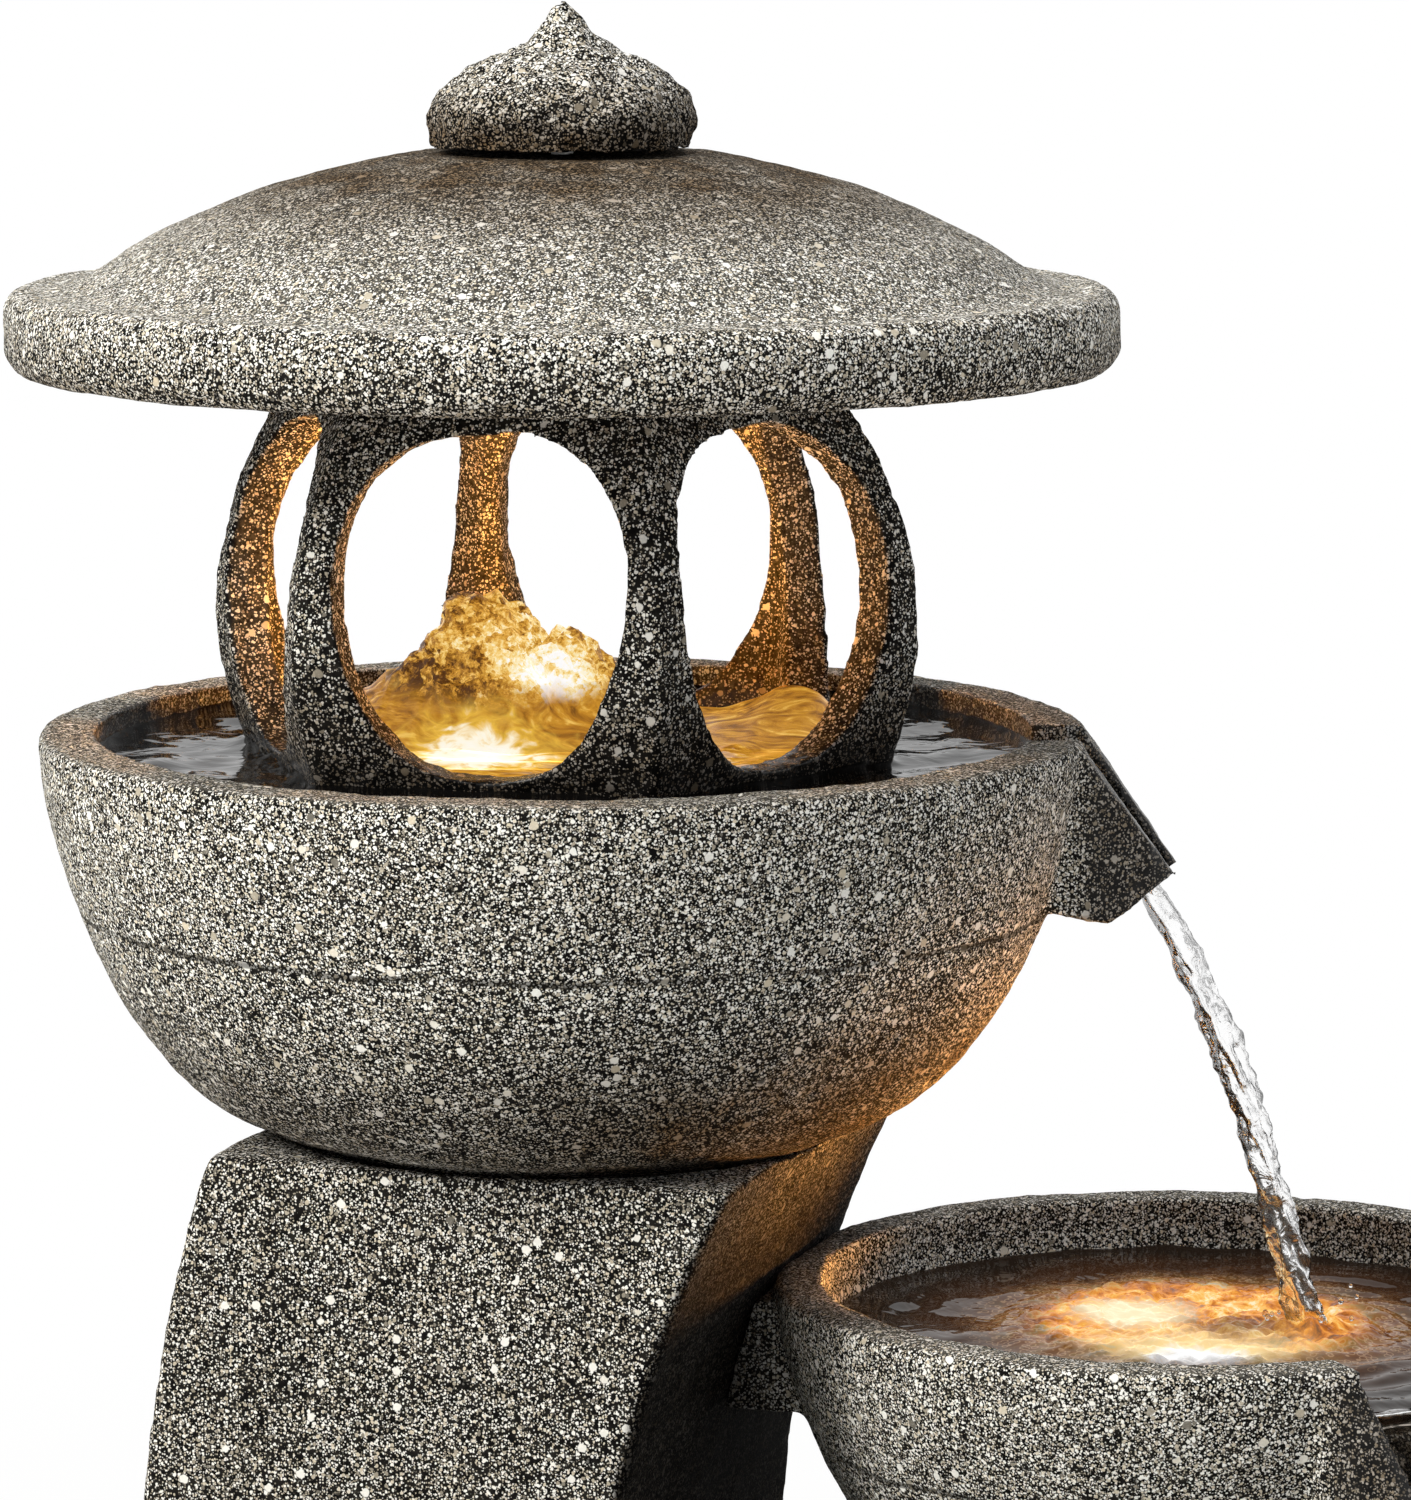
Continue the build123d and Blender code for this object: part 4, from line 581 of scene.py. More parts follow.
def make_side_water(name, hot_spot, core_spot, foam_spot, hollow_spot, foam_radius):
    """Water in the side bowl, with painted lamp light: a lit patch of foam, white-hot by the lamp, with bubbles along
    its edge.
    """
    material, tree, shader, place = new_material(name)
    folds = add(tree, "TexNoise", {"Vector": place, "Scale": 0.11, "Detail": 8.0, "Roughness": 0.70,
                                   "Distortion": 0.6})[0]
    foam = add(tree, "ValToRGB", (folds,), ((0.36, "70380F"), (0.44, "C46F1C"), (0.51, "F09A34"), (0.58, "FFC867"),
                                            (0.66, "FFF2CE")))[0]
    core = away_from(tree, place, core_spot, 60.0, folds, 34.0)
    hot = away_from(tree, place, hot_spot, 60.0, folds, 16.0)
    hollow = away_from(tree, place, hollow_spot, 18.0, folds, 22.0)
    reach = away_from(tree, place, foam_spot, foam_radius / MM * 2, folds, 20.0)
    cells = add(tree, "TexVoronoi", {"Vector": place, "Scale": 0.42})["Distance"]
    rings = add(tree, "ValToRGB", (cells,), ((0.30, 0.0), (0.42, 1.0), (0.52, 0.0)))[0]
    belt = add(tree, "ValToRGB", (reach,), ((0.36, 0.0), (0.45, 0.3), (0.54, 0.25), (0.62, 0.0)))[0]
    set_pond(tree, shader, place, lay(
        tree, foam,
        (core, ((0.12, 1.0), (0.34, 0.0)), "FFEFC4"),
        (hot, ((0.20, 0.95), (0.75, 0.0)), "FFE6A8"),
        (hot, ((0.16, 1.0), (0.26, 0.0)), "FFFFFF"),
        (hollow, ((0.35, 0.85), (1.0, 0.0)), "74431C"),
        (reach, ((0.36, 0.0), (0.44, 0.8), (0.60, 1.0)), "46270F"),
        (reach, ((0.46, 0.0), (0.80, 1.0)), "1C140E"),
        (rings, belt, "F0C79A")))
    return material


def make_froth(name, bright_spot, hot_spot, middle, keep):
    """Water heaped over the nozzle, beaten with air: crumpled like foil, with painted golden lamp light, white where
    light comes through.
    """
    material, tree, shader, place = new_material(name)
    bent = push_about(tree, place, 5.0, {"Scale": 0.30, "Detail": 4.0, "Roughness": 0.6})
    grains = add(tree, "TexNoise", {"Vector": place, "Scale": 0.7, "Detail": 5.0, "Roughness": 0.75})[0]
    broad = add(tree, "TexNoise", {"Vector": place, "Scale": 0.08, "Detail": 3.0})[0]
    froth = add(tree, "Attribute", attribute_name="froth")["Fac"]
    facets = []
    for spacing, weight in ((4.2, 0.24), (1.9, 0.17), (0.9, 0.10)):
        cells = add(tree, "TexVoronoi", {"Vector": bent, "Scale": 1 / spacing})["Color"]
        facets.append((add(tree, "SeparateColor", (cells,))[0], weight))
    lift = away_from(tree, place, bright_spot, 40.0, broad, 24.0)
    lift = add(tree, "ValToRGB", (lift,), ((0.08, 0.52), (0.42, 0.16), (0.95, 0.0)))[0]
    light = weighted(tree, (grains, 0.60), *facets, (broad, 0.30), (lift, 1.0), (froth, 0.18), (1.0, -0.59))
    foil = add(tree, "ValToRGB", (light,), ((0.16, "4A2A0C"), (0.28, "A06C22"), (0.38, "DBA23E"), (0.48, "F7D27A"),
                                            (0.58, "FFF2C6"), (0.70, "FFFFFF")))[0]
    pool = lit_pool(tree, place, hot_spot, middle, keep)
    join(shader, {
        "Emission Color": lay(tree, pool, (froth, ((0.08, 0.0), (0.35, 1.0)), foil)), "Emission Strength": 0.95,
        "Base Color": "0A0704", "Roughness": 0.14, "IOR": WATER_IOR, "Specular IOR Level": 0.3,
        "Normal": add(tree, "Bump", {"Strength": 0.6, "Distance": 1.2 * MM, "Height": light})[0]})
    return material


def golden_streaks(tree, place):
    """Lit water that flows outwards under the lantern: amber with brown and pale streaks."""
    glow = bpy.context.scene.fountain_glow
    flow = add(tree, "Mapping", {"Vector": place, "Rotation": (0, 0, 0.3), "Scale": (0.55, 1.3, 1.0)})[0]
    streaks = add(tree, "TexNoise", {"Vector": flow, "Scale": 0.10, "Detail": 6.0, "Roughness": 0.6,
                                     "Distortion": 2.2})[0]
    return add(tree, "ValToRGB", (streaks,), ((0.30, glow.brown), (0.46, glow.amber), (0.58, "C98F2C"),
                                              (0.70, "F0C462")))[0]


def lit_pool(tree, place, hot_spot, middle, keep):
    """Painted lamp light in the water over the lamp: white-hot, then yellow, then amber streaks, and black past the
    cage's wall.
    """
    glow = bpy.context.scene.fountain_glow
    streaks = add(tree, "TexNoise", {"Vector": place, "Scale": 0.12, "Detail": 5.0, "Distortion": 1.5})[0]
    distance = away_from(tree, place, hot_spot, 60.0, streaks, 30.0)
    near = add(tree, "ValToRGB", (distance,), ((0.0, "FFFFFF"), (0.22, glow.hot), (0.33, "F9CB4E"), (0.60, glow.amber),
                                               (1.0, "8A5A20")))[0]
    held = away_from(tree, place, middle, keep / MM, streaks, 6.0)
    held = add(tree, "ValToRGB", (held,), ((0.90, 1.0), (1.0, 0.0)))[0]
    colour = lay(tree, near, (distance, ((0.24, 0.0), (0.50, 1.0)), golden_streaks(tree, place)))
    return lay(tree, colour, (1.0, 1.0, held), blend="MULTIPLY")


def disc_mesh(name, centre, radius, level, rings, spokes, height):
    """Round water surface of rings and spokes. Height gives the surface's rise at each point."""
    radii = np.linspace(0, 1, rings + 1)[1:] * radius
    angles = np.linspace(0, 2 * math.pi, spokes, endpoint=False)
    grid = np.array([(centre[0] + r * math.cos(a), centre[1] + r * math.sin(a)) for r in radii for a in angles])
    flat = np.vstack([[centre], grid])
    top = np.column_stack([flat, level + height(flat[:, 0], flat[:, 1])])
    faces = [(0, 1 + k, 1 + (k + 1) % spokes) for k in range(spokes)]
    for i in range(rings - 1):
        first, second = 1 + i * spokes, 1 + (i + 1) * spokes
        faces += [(first + k, second + k, second + (k + 1) % spokes, first + (k + 1) % spokes) for k in range(spokes)]
    return smooth_mesh(name, top, faces)


def ripples(source, amplitude, wavelength, seed):
    """Rings running out from a source, crossed by small wind waves."""
    def height(x, y):
        away = np.hypot(x - source[0], y - source[1])
        rings = np.sin(away * 2 * math.pi / wavelength + seed) * np.exp(-away / (wavelength * 5))
        cross = np.array([noise.noise(Vector((a * 55 + seed, b * 38, seed))) for a, b in zip(x, y)])
        small = np.array([noise.noise(Vector((a * 140, b * 110 + seed, seed))) for a, b in zip(x, y)])
        return amplitude * (rings * 0.7 + cross * 1.4 + small * 0.2)
    return height


def water_piece(mesh, material):
    """Put water in the scene. It rides on the fountain's fixed body, so it stays when a piece is lifted off."""
    mesh.materials.append(material)
    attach(link_piece(mesh.name, mesh), "root")


def wet_edge(mesh, *stones):
    """Raise the water where it clings to the stone round it."""
    climb, fade, far = 0.0012, 0.0017, 0.007
    trees = [BVHTree.FromObject(bpy.data.objects[stone], bpy.context.evaluated_depsgraph_get()) for stone in stones]
    for vertex in mesh.vertices:
        gaps = [tree.find_nearest(vertex.co, far)[3] for tree in trees]
        gaps = [gap for gap in gaps if gap is not None]
        if gaps:
            vertex.co.z += climb * math.exp(-min(gaps) / fade)
    mesh.update()


class FOUNTAIN_OT_lantern_water(Operator):
    """Fill the lantern bowl, with the lit and bubbling water inside the lantern"""
    bl_idname = "fountain.lantern_water"
    bl_label = "Lantern bowl water"

    def execute(self, context):
        water = context.scene.fountain_water
        level = water.lantern_level
        hot_spot, middle, bright_spot = (-0.0187, -0.0181, level), (0, 0, level), (-0.010, 0.018, level + 0.014)
        surface = disc_mesh("lantern_bowl_water", (0, 0), 0.1292, level, 110, 320,
                            ripples((-0.018, 0.018), water.ripple, 0.015, 1.0))
        wet_edge(surface, "carved_cage", "carved_upper_bowl")
        water_piece(surface, make_lantern_water("lit_pond_water", hot_spot, middle, keep=0.074))
        water_piece(mound_mesh(level, water.mound_height),
                    make_froth("froth_over_lamp", bright_spot, hot_spot, middle, keep=0.088))
        return {"FINISHED"}


def mound_mesh(level, rise):
    """Water heaped inside the cage by the nozzle: a crumpled dome and a lower ridge on a swell that runs outwards."""
    turn = math.radians(18.2)
    right, back = (math.cos(turn), math.sin(turn)), (-math.sin(turn), math.cos(turn))
    s, t = np.meshgrid(np.linspace(-0.085, 0.090, 274), np.linspace(-0.016, 0.085, 158), indexing="ij")
    middle, dome_width = -0.0225, np.where(s < -0.0225, 0.0235, 0.0170)
    dome = np.exp(-(np.abs((s - middle) / dome_width) ** 2.7 + np.abs((t - 0.034) / 0.019) ** 2.6))
    ridge = 0.70 * np.exp(-(np.abs((s + 0.0010) / 0.0130) ** 2.6 + np.abs((t - 0.034) / 0.014) ** 2.2))
    peak = np.maximum(dome, ridge)
    swell = 0.0080 * step(t, -0.012, 0.020) + 0.0050 * step(t, 0.012, 0.045)
    swell *= 1 - 0.6 * step(s, 0.012, 0.040)
    swell += 0.0095 * np.exp(-(((s - 0.066) / 0.016) ** 2 + ((t - 0.044) / 0.026) ** 2))
    post = 0.010 * np.exp(-((np.arctan2(t, s) - 0.5) / 0.35) ** 2)
    swell *= 1 - step(np.hypot(s, t) - post, 0.068, 0.083)
    height = rise * peak + swell * (1 - peak) - 0.002
    x = s * right[0] + t * back[0]
    y = s * right[1] + t * back[1]
    moved = []
    for px, py, pz, froth in np.column_stack([x.ravel(), y.ravel(), level + height.ravel(), peak.ravel()]).tolist():
        point = Vector((px, py, pz))
        folds = noise.turbulence_vector(point * 85, 3, False)
        crumple = noise.turbulence_vector(point * 210 + Vector((5, 2, 8)), 2, True)
        calm = noise.noise(Vector((px * 95, py * 60, 4.0)))
        strength = min(1.0, froth * 3)
        moved.append(point + strength * (folds * 0.0034 + crumple * 0.0022)
                     + Vector((0, 0, 0.0016 * calm * (1 - strength))))
    rows, columns = s.shape
    faces = [(i * columns + j, (i + 1) * columns + j, (i + 1) * columns + j + 1, i * columns + j + 1)
             for i in range(rows - 1) for j in range(columns - 1)
             if height[i:i + 2, j:j + 2].max() > -0.0018]
    mesh = smooth_mesh("bubbling_water", moved, faces)
    store(mesh, "froth", step(peak.ravel(), 0.02, 0.75))
    return mesh


def fall_path(start, direction, speed, drop, count):
    """Free fall from a spout: outward speed kept, downward speed growing."""
    gravity = 9.81
    down = speed * math.tan(CHANNEL_SLOPE)
    time = (-down + math.sqrt(down * down + 2 * gravity * drop)) / gravity
    path = []
    for i in range(count + 1):
        t = time * i / count
        out = direction * speed * t
        path.append(start + Vector((out.x, out.y, -down * t - gravity * t * t / 2)))
    return path


def rope_mesh(name, path, side, widths, depths, sides, wobble, twist):
    """Water's body along a path: flat in the channel, then a twisting ribbon with thick edges and a torn outline."""
    points, faces = [], []
    count = len(path)
    for i, centre in enumerate(path):
        ahead = path[min(i + 1, count - 1)] - path[max(i - 1, 0)]
        ahead.normalize()
        across = side - ahead * side.dot(ahead)
        across.normalize()
        up = across.cross(ahead)
        share = i / (count - 1)
        turn = twist * share ** 2
        loose = min(1.0, share * 3)
        for k in range(sides):
            angle = 2 * math.pi * k / sides
            flat = Vector((math.cos(angle), math.sin(angle), 0))
            rough = noise.noise(Vector((flat.x * 1.3, flat.y * 1.3, centre.z * 75)))
            rough += 0.6 * noise.noise(Vector((flat.x * 2.6, flat.y * 2.6, centre.z * 190)))
            rough += 0.25 * noise.noise(Vector((flat.x * 4, flat.y * 4, centre.z * 480)))
            swell = 1 + wobble * loose * rough
            thick = 0.62 + 0.38 * abs(flat.x)
            a = flat.x * widths[i] / 2 * swell
            b = flat.y * depths[i] / 2 * swell * thick
            points.append(centre + across * (a * math.cos(turn) - b * math.sin(turn))
                          + up * (a * math.sin(turn) * 0.6 + b * math.cos(turn)))
    for i in range(count - 1):
        for k in range(sides):
            n = (k + 1) % sides
            faces.append((i * sides + k, i * sides + n, (i + 1) * sides + n, (i + 1) * sides + k))
    faces.append(tuple(reversed(range(sides))))
    faces.append(tuple((count - 1) * sides + k for k in range(sides)))
    return smooth_mesh(name, points, faces)


def spout_stream(name, bowl, level, speed, landing, material, channel_material):
    """Water over one spout: out of the bowl, across the notch, down the channel and in free fall to the next level."""
    direction = Vector((math.cos(bowl.heading), math.sin(bowl.heading), 0))
    side = Vector((-math.sin(bowl.heading), math.cos(bowl.heading), 0))
    lip = bowl.radius - 0.0033
    notch_floor = bowl.rim - bowl.notch
    low, out = CHANNEL_FLOOR * math.cos(CHANNEL_SLOPE), CHANNEL_FLOOR * math.sin(CHANNEL_SLOPE)
    bend = lip - out + (bowl.rim - low - notch_floor) / math.tan(CHANNEL_SLOPE)
    end = lip - out + CHANNEL_DROP / math.tan(CHANNEL_SLOPE)
    end_level = bowl.rim - CHANNEL_DROP - low

    def at(reach, height):
        return bowl.centre.to_3d() + direction * reach + Vector((0, 0, height))

    path, widths, depths = [], [], []
    thick, first, over_notch, down_channel, falling = 0.0062, bowl.radius - 0.021, 18, 24, 170
    for share in np.linspace(0, 1, over_notch):
        sunk = (1 - share) ** 0.6
        height = (level - 0.0004 - thick / 2) * sunk + (notch_floor + 0.0026) * (1 - sunk)
        path.append(at(first + (bend - first) * share, height))
        widths.append(0.0275 - 0.003 * share)
        depths.append(thick)
    for share in np.linspace(0.06, 1, down_channel):
        path.append(at(bend + (end - bend) * share, notch_floor + 0.0018 + (end_level + 0.0024 - notch_floor) * share))
        widths.append(0.0245 - 0.0085 * share)
        depths.append(0.0058 + 0.0006 * share)
    fall = fall_path(path[-1], direction, speed, path[-1].z - landing, falling)[1:]
    for i, point in enumerate(fall):
        share = (i + 1) / len(fall)
        path.append(point)
        swollen = math.sin(min(1, share * 5) * math.pi / 2)
        splay = 0.004 * max(0, share - 0.75) / 0.25
        widths.append(0.016 - 0.003 * swollen + splay)
        depths.append(0.0064 + 0.0040 * swollen + splay)
    sides = 30
    mesh = rope_mesh(name, path, side, widths, depths, sides, wobble=0.56, twist=2.2)
    mesh.materials.append(channel_material)
    for polygon in mesh.polygons[(over_notch + down_channel - 1) * sides:]:
        polygon.material_index = 1
    water_piece(mesh, material)


def drops_mesh(name, spot, seed, count):
    """Small drops thrown up round the place where a stream lands."""
    points, faces = [], []
    for k in range(count):
        where = noise.noise_vector(Vector((seed + k * 7.3, k * 3.1, seed * 2.7)))
        away = 0.009 + 0.016 * abs(where.x)
        angle = 2.4 * k + seed
        centre = Vector(spot) + Vector((away * math.cos(angle), away * math.sin(angle), 0.002 + 0.016 * abs(where.y)))
        radius = 0.0005 + 0.0009 * abs(where.z)
        first = len(points)
        for ring in range(1, 6):
            for spoke in range(8):
                up, turn = math.pi * ring / 6, math.pi * spoke / 4
                points.append(centre + radius * Vector((math.sin(up) * math.cos(turn), math.sin(up) * math.sin(turn),
                                                        1.3 * math.cos(up))))
        for ring in range(4):
            for spoke in range(8):
                a, b = first + ring * 8 + spoke, first + ring * 8 + (spoke + 1) % 8
                faces.append((a, a + 8, b + 8, b))
        faces.append(tuple(first + spoke for spoke in range(8)))
        faces.append(tuple(first + 32 + spoke for spoke in reversed(range(8))))
    return smooth_mesh(name, points, faces)


class FOUNTAIN_OT_streams(Operator):
    """Run the water over both spouts"""
    bl_idname = "fountain.streams"
    bl_label = "Falling water"

    def execute(self, context):
        water = context.scene.fountain_water
        clear = make_clear_water("falling_water", "FFFFFF", 0.0, 0.85)
        shallow = make_shallow_water("channel_water")
        sunk = 0.004
        for name, bowl, level, landing in (("upper_stream", UPPER_BOWL, water.lantern_level, water.side_level),
                                           ("side_stream", SIDE_BOWL, water.side_level, water.basin_level)):
            spout_stream(name, bowl, level, water.outward_speed, landing - sunk, clear, shallow)
        water_piece(drops_mesh("upper_drops", (0.200, 0.048, water.side_level), 1.0, 11),
                    make_clear_water("drop_water", "FFFFFF", 0.0, 0.5))
        return {"FINISHED"}


class FOUNTAIN_OT_side_water(Operator):
    """Fill the side bowl, lit from below where the stream lands"""
    bl_idname = "fountain.side_water"
    bl_label = "Side bowl water"

    def execute(self, context):
        water = context.scene.fountain_water
        level = water.side_level
        swell = ripples((0.198, 0.048), water.ripple * 1.2, 0.012, 4.0)
        foam_x, foam_y, landing_x, landing_y = 0.1706, 0.0476, 0.200, 0.048

        def height(x, y):
            foam = 1 - step(np.hypot(x - foam_x, y - foam_y), 0.044, 0.062)
            froth = np.array([noise.turbulence(Vector((a * 150, b * 150, 3.0)), 3, True) for a, b in zip(x, y)])
            splash = np.exp(-((x - landing_x) ** 2 + (y - landing_y) ** 2) / 0.009 ** 2)
            return swell(x, y) + foam * (0.0010 + 0.0020 * froth) + splash * (0.001 + 0.004 * froth)

        surface = disc_mesh("side_bowl_water", tuple(SIDE_BOWL.centre), 0.1005, level, 100, 300, height)
        wet_edge(surface, "carved_side_bowl")
        water_piece(surface, make_side_water(
            "lit_side_water", hot_spot=(0.180, 0.004, level), core_spot=(0.150, 0.050, level),
            foam_spot=(foam_x, foam_y, level), hollow_spot=(0.184, 0.042, level), foam_radius=0.056))
        return {"FINISHED"}


class FOUNTAIN_OT_basin_water(Operator):
    """Fill the basin"""
    bl_idname = "fountain.basin_water"
    bl_label = "Basin water"

    def execute(self, context):
        water = context.scene.fountain_water
        surface = disc_mesh("basin_water", tuple(top_of("base_basin").xy), 0.2372, water.basin_level, 90, 220,
                            ripples((0.290, -0.082), water.ripple * 1.3, 0.016, 9.0))
        water_piece(surface, make_clear_water("basin_pond_water", "B9C4BF", 0.02, 0.0))
        return {"FINISHED"}


# Fittings
def make_plastic(name, colour, rough, grain, bump_height):
    """Moulded plastic: an even colour, and a fine spark-eroded grain that breaks its gloss."""
    material, tree, shader, place = new_material(name)
    pores = add(tree, "TexNoise", {"Vector": place, "Scale": 1 / grain, "Detail": 3.0})[0]
    scuff = add(tree, "TexNoise", {"Vector": place, "Scale": 0.07, "Detail": 5.0, "Roughness": 0.7})[0]
    shade = [min(1.0, c * 1.35 + 0.004) for c in linear(colour)[:3]] + [1.0]
    join(shader, {
        "Base Color": lay(tree, colour, (scuff, ((0.35, 0.0), (0.8, 1.0)), shade)), "IOR": 1.53,
        "Roughness": add(tree, "MapRange", (scuff, 0.0, 1.0, rough - 0.08, rough + 0.1))[0],
        "Normal": add(tree, "Bump", {"Strength": 0.4, "Distance": bump_height * MM, "Height": pores})[0]})
    return material


def make_metal(name, colour, rough, stretch):
    """Turned or pressed metal: fine tool marks round it, duller in the hollows."""
    material, tree, shader, place = new_material(name)
    along = add(tree, "Mapping", {"Vector": place, "Scale": (1.0, 1.0, stretch)})[0]
    marks = add(tree, "TexNoise", {"Vector": along, "Scale": 2.5, "Detail": 3.0})[0]
    dull = [c * 0.7 for c in linear(colour)[:3]] + [1.0]
    join(shader, {
        "Base Color": lay(tree, dull, (marks, 1.0, colour)), "Metallic": 1.0, "Roughness": rough,
        "Normal": add(tree, "Bump", {"Strength": 0.25, "Distance": 0.05 * MM, "Height": marks})[0]})
    return material


def make_lens(name):
    """Pressed clear glass over warm light chips: it glows through its crown."""
    glow = bpy.context.scene.fountain_glow
    material, tree, shader, place = new_material(name)
    ribs = add(tree, "TexVoronoi", {"Vector": place, "Scale": 0.4})["Distance"]
    join(shader, {
        "Emission Color": lay(tree, glow.hot, (ribs, 1.0, glow.warm)), "Emission Strength": 3.0,
        "Base Color": "FFF4DE", "Roughness": 0.08, "IOR": 1.52, "Transmission Weight": 0.5})
    return material


def make_hose(name):
    """Clear vinyl hose, slightly milky."""
    material, tree, shader, place = new_material(name)
    haze = add(tree, "TexNoise", {"Vector": place, "Scale": 0.2, "Detail": 3.0})[0]
    join(shader, {"Base Color": lay(tree, "C9D0CC", (haze, 1.0, "DDE2DF")), "Roughness": 0.22, "IOR": 1.53,
                  "Transmission Weight": 0.55})
    return material


# Slot of the record, then the material's name, colour, roughness, and its grain's spacing and height in millimetres
PLASTICS = (
    ("pump_plastic", "moulded_black_ABS", "1C1D1F", 0.45, 0.5, 0.05),
    ("fitting_plastic", "moulded_dark_nylon", "26282A", 0.4, 0.7, 0.04),
    ("nozzle_plastic", "moulded_polypropylene", "303132", 0.38, 0.8, 0.04),
    ("dial_plastic", "moulded_blue_grey_acetal", "3B4A57", 0.3, 0.8, 0.03),
    ("impeller_plastic", "moulded_white_acetal", "DCDDDB", 0.35, 0.8, 0.03),
    ("rubber", "moulded_nitrile_rubber", "191919", 0.7, 0.4, 0.08),
    ("lead_jacket", "extruded_rubber_jacket", "171718", 0.6, 0.4, 0.06),
    ("ferrite", "sintered_ferrite", "2B2B2D", 0.55, 0.3, 0.05),
    ("bush_ceramic", "ground_alumina", "E6E4DE", 0.3, 0.4, 0.02),
    ("light_board", "white_solder_mask", "E9E8E2", 0.4, 0.6, 0.02))
# Slot, then the material's name, colour, roughness and how close its tool marks are along its axis
METALS = (
    ("stainless", "turned_stainless_steel", "C9C7C3", 0.28, 6.0),
    ("light_metal", "turned_stainless_cup", "B4B1AB", 0.35, 8.0),
    ("brass", "turned_brass", "D9B26A", 0.3, 6.0))


class FOUNTAIN_OT_fittings(Operator):
    """Finish the pump, lights, fixings, hose and leads"""
    bl_idname = "fountain.fittings"
    bl_label = "Fittings"

    def execute(self, context):
        materials = {slot: make_plastic(*settings) for slot, *settings in PLASTICS}
        materials |= {slot: make_metal(*settings) for slot, *settings in METALS}
        materials |= {"light_lens": make_lens("pressed_lamp_glass"), "hose": make_hose("clear_vinyl_hose")}
        for row in frame["record"]["subparts"]:
            node = frame["nodes"][row["node"]]
            if not node.hide_render:
                node.data.materials.clear()
                node.data.materials.append(materials[row["material_slot"]])
        return {"FINISHED"}


# Stage
def add_light(name, kind, place, power, colour, **settings):
    """A lamp of this kind at a place."""
    lamp = fit(bpy.data.lights.new(name, kind), energy=power, color=linear(colour)[:3], **settings)
    return fit(link_piece(name, lamp), location=place)


def turned_to(direction):
    """Rotation that makes a camera or lamp look this way."""
    return Vector(direction).to_track_quat("-Z", "Y").to_euler()


def area_light(name, place, target, size, power, colour, spread=180):
    """A round soft light that points at its target. Spread is in degrees."""
    lamp = add_light(name, "AREA", place, power, colour, shape="DISK", size=size, spread=math.radians(spread))
    fit(lamp, rotation_euler=turned_to(Vector(target) - Vector(place)), visible_camera=False)


def looked_at(tree):
    """1 for the camera's rays and for those that gloss and clear water send on."""
    path = add(tree, "LightPath")
    seen = add(tree, "Math", (path["Is Camera Ray"], path["Is Transmission Ray"]), operation="ADD")[0]
    return add(tree, "Math", (seen, path["Is Glossy Ray"]), operation="ADD", use_clamp=True)[0]


def make_background(world, strength):
    """Even grey-white light all round, seen as plain white by the camera, in gloss and through water."""
    world.use_nodes = True
    tree = world.node_tree
    tree.nodes.clear()
    soft = add(tree, "Background", ("F2F4F7", strength))[0]
    plain = add(tree, "Background", ("FFFFFF", 1.0))[0]
    add(tree, "OutputWorld", add(tree, "MixShader", (looked_at(tree), soft, plain))[:1])


def make_floor_material(colour):
    """Pale matt studio floor: it keeps a soft shadow round the foot, and reads as plain white further out."""
    material, tree, shader, place = new_material("pale_studio_floor")
    grain = add(tree, "TexNoise", {"Vector": place, "Scale": 0.02, "Detail": 2.0})[0]
    join(shader, {"Base Color": lay(tree, colour, (grain, 1.0, "FAFAF8")), "Roughness": 0.9, "Specular IOR Level": 0.1})
    away = away_from(tree, place, (0.1, 0, 0), 1200.0)
    away = add(tree, "ValToRGB", (away,), ((0.2, 0.72), (1.0, 1.0)))[0]
    seen = add(tree, "Math", (looked_at(tree), away), operation="MULTIPLY")[0]
    white = add(tree, "Emission", ("FFFFFF", 1.0))[0]
    join(node_of(tree, "OUTPUT_MATERIAL"), add(tree, "MixShader", (seen, shader.outputs[0], white))[:1])
    return material


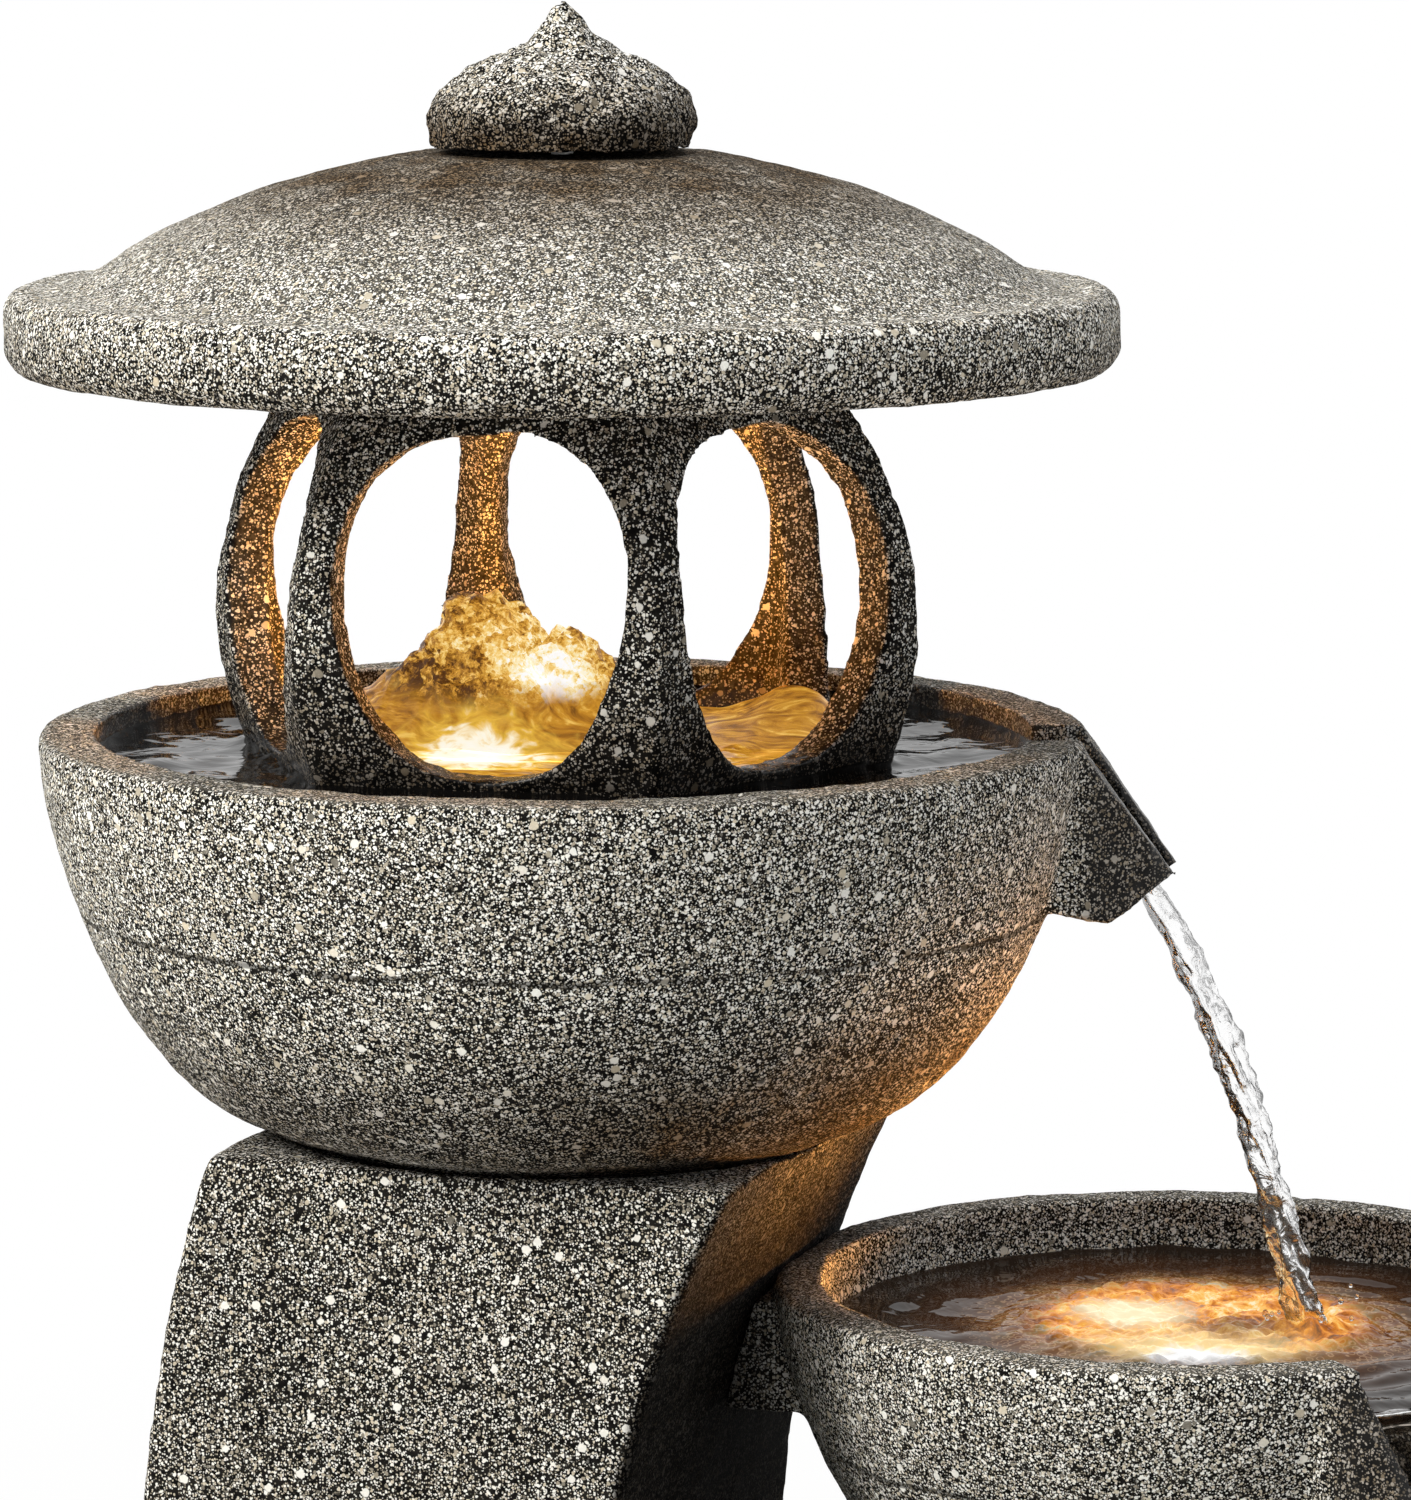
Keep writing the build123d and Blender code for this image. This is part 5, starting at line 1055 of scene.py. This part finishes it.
class FOUNTAIN_OT_stage(Operator):
    """Set the camera, the floor, the studio light and the lamps' glow"""
    bl_idname = "fountain.stage"
    bl_label = "Stage"

    def execute(self, context):
        scene = context.scene
        stage, glow, water = scene.fountain_stage, scene.fountain_glow, scene.fountain_water
        scene.view_settings.view_transform = "Standard"
        turn, dip = stage.camera_turn, stage.camera_dip
        ahead = (-math.sin(turn) * math.cos(dip), math.cos(turn) * math.cos(dip), -math.sin(dip))
        camera = link_piece("camera", fit(bpy.data.cameras.new("camera"), lens=stage.lens, sensor_width=36))
        scene.camera = fit(camera, location=stage.camera_place, rotation_euler=turned_to(ahead))
        half = stage.floor_size / 2
        mesh = bpy.data.meshes.new("floor")
        mesh.from_pydata([(-half, -half, 0), (half, -half, 0), (half, half, 0), (-half, half, 0)], [], [(0, 1, 2, 3)])
        floor = link_piece("floor", mesh)
        mesh.materials.append(make_floor_material(stage.floor))
        scene.world = bpy.data.worlds.new("studio")
        make_background(scene.world, stage.ambient)
        front = (0.05, 0, 0.42)
        area_light("key", (-1.3, -1.7, 2.0), front, 1.1, stage.key, "FFFDF8")
        area_light("top", (0.1, 0.3, 2.4), front, 1.4, stage.top, "FFFFFF")
        area_light("fill", (1.9, -0.9, 0.9), front, 1.2, stage.fill, "F4F8FF")
        over_mound = (-0.012, -0.002, water.lantern_level + water.mound_height + 0.012)
        over_lens = (*top_of("lantern_light_lens").xy, water.lantern_level + 0.008)
        for name, place, share, radius in (("lantern_glow", over_mound, 1.0, 0.012),
                                           ("lantern_low_glow", over_lens, 0.5, 0.008)):
            lamp = add_light(name, "POINT", place, glow.lantern_power * share, glow.warm, shadow_soft_size=radius)
            lamp.visible_glossy = False
        side_lamp = (*top_of("side_light_lens").xy, water.side_level + 0.006)
        area_light("side_glow", side_lamp, (0.035, -0.02, 0.375), 0.05, glow.side_power, glow.warm, spread=95)
        return {"FINISHED"}


class FOUNTAIN_PT_panel(Panel):
    """Lists the steps that dress the fountain"""
    bl_idname = "FOUNTAIN_PT_panel"
    bl_label = "Fountain"
    bl_space_type = "VIEW_3D"
    bl_region_type = "UI"
    bl_category = "Fountain"

    def draw(self, context):
        for operator in OPERATORS:
            self.layout.operator(operator.bl_idname)
        for group in ("fountain_stone", "fountain_water", "fountain_glow", "fountain_stage"):
            settings = getattr(context.scene, group)
            for key in settings.__annotations__:
                self.layout.prop(settings, key)


OPERATORS = (FOUNTAIN_OT_stage, FOUNTAIN_OT_roof, FOUNTAIN_OT_cage, FOUNTAIN_OT_bowls, FOUNTAIN_OT_pillar,
             FOUNTAIN_OT_basin, FOUNTAIN_OT_lantern_water, FOUNTAIN_OT_side_water, FOUNTAIN_OT_basin_water,
             FOUNTAIN_OT_streams, FOUNTAIN_OT_fittings)
GROUPS = {"fountain_stone": StoneSettings, "fountain_water": WaterSettings, "fountain_glow": GlowSettings,
          "fountain_stage": StageSettings}


def register():
    """Register the settings, the operators and the panel."""
    for name, group in GROUPS.items():
        bpy.utils.register_class(group)
        setattr(bpy.types.Scene, name, PointerProperty(type=group))
    for cls in OPERATORS + (FOUNTAIN_PT_panel,):
        bpy.utils.register_class(cls)


def unregister():
    """Take all of it out again."""
    for cls in reversed(OPERATORS + (FOUNTAIN_PT_panel,)):
        bpy.utils.unregister_class(cls)
    for name, group in GROUPS.items():
        delattr(bpy.types.Scene, name)
        bpy.utils.unregister_class(group)


def main():
    """Dress the fountain: run each operator in turn."""
    register()
    for operator in OPERATORS:
        family, action = operator.bl_idname.split(".")
        getattr(getattr(bpy.ops, family), action)()


if __name__ == "__main__":
    main()
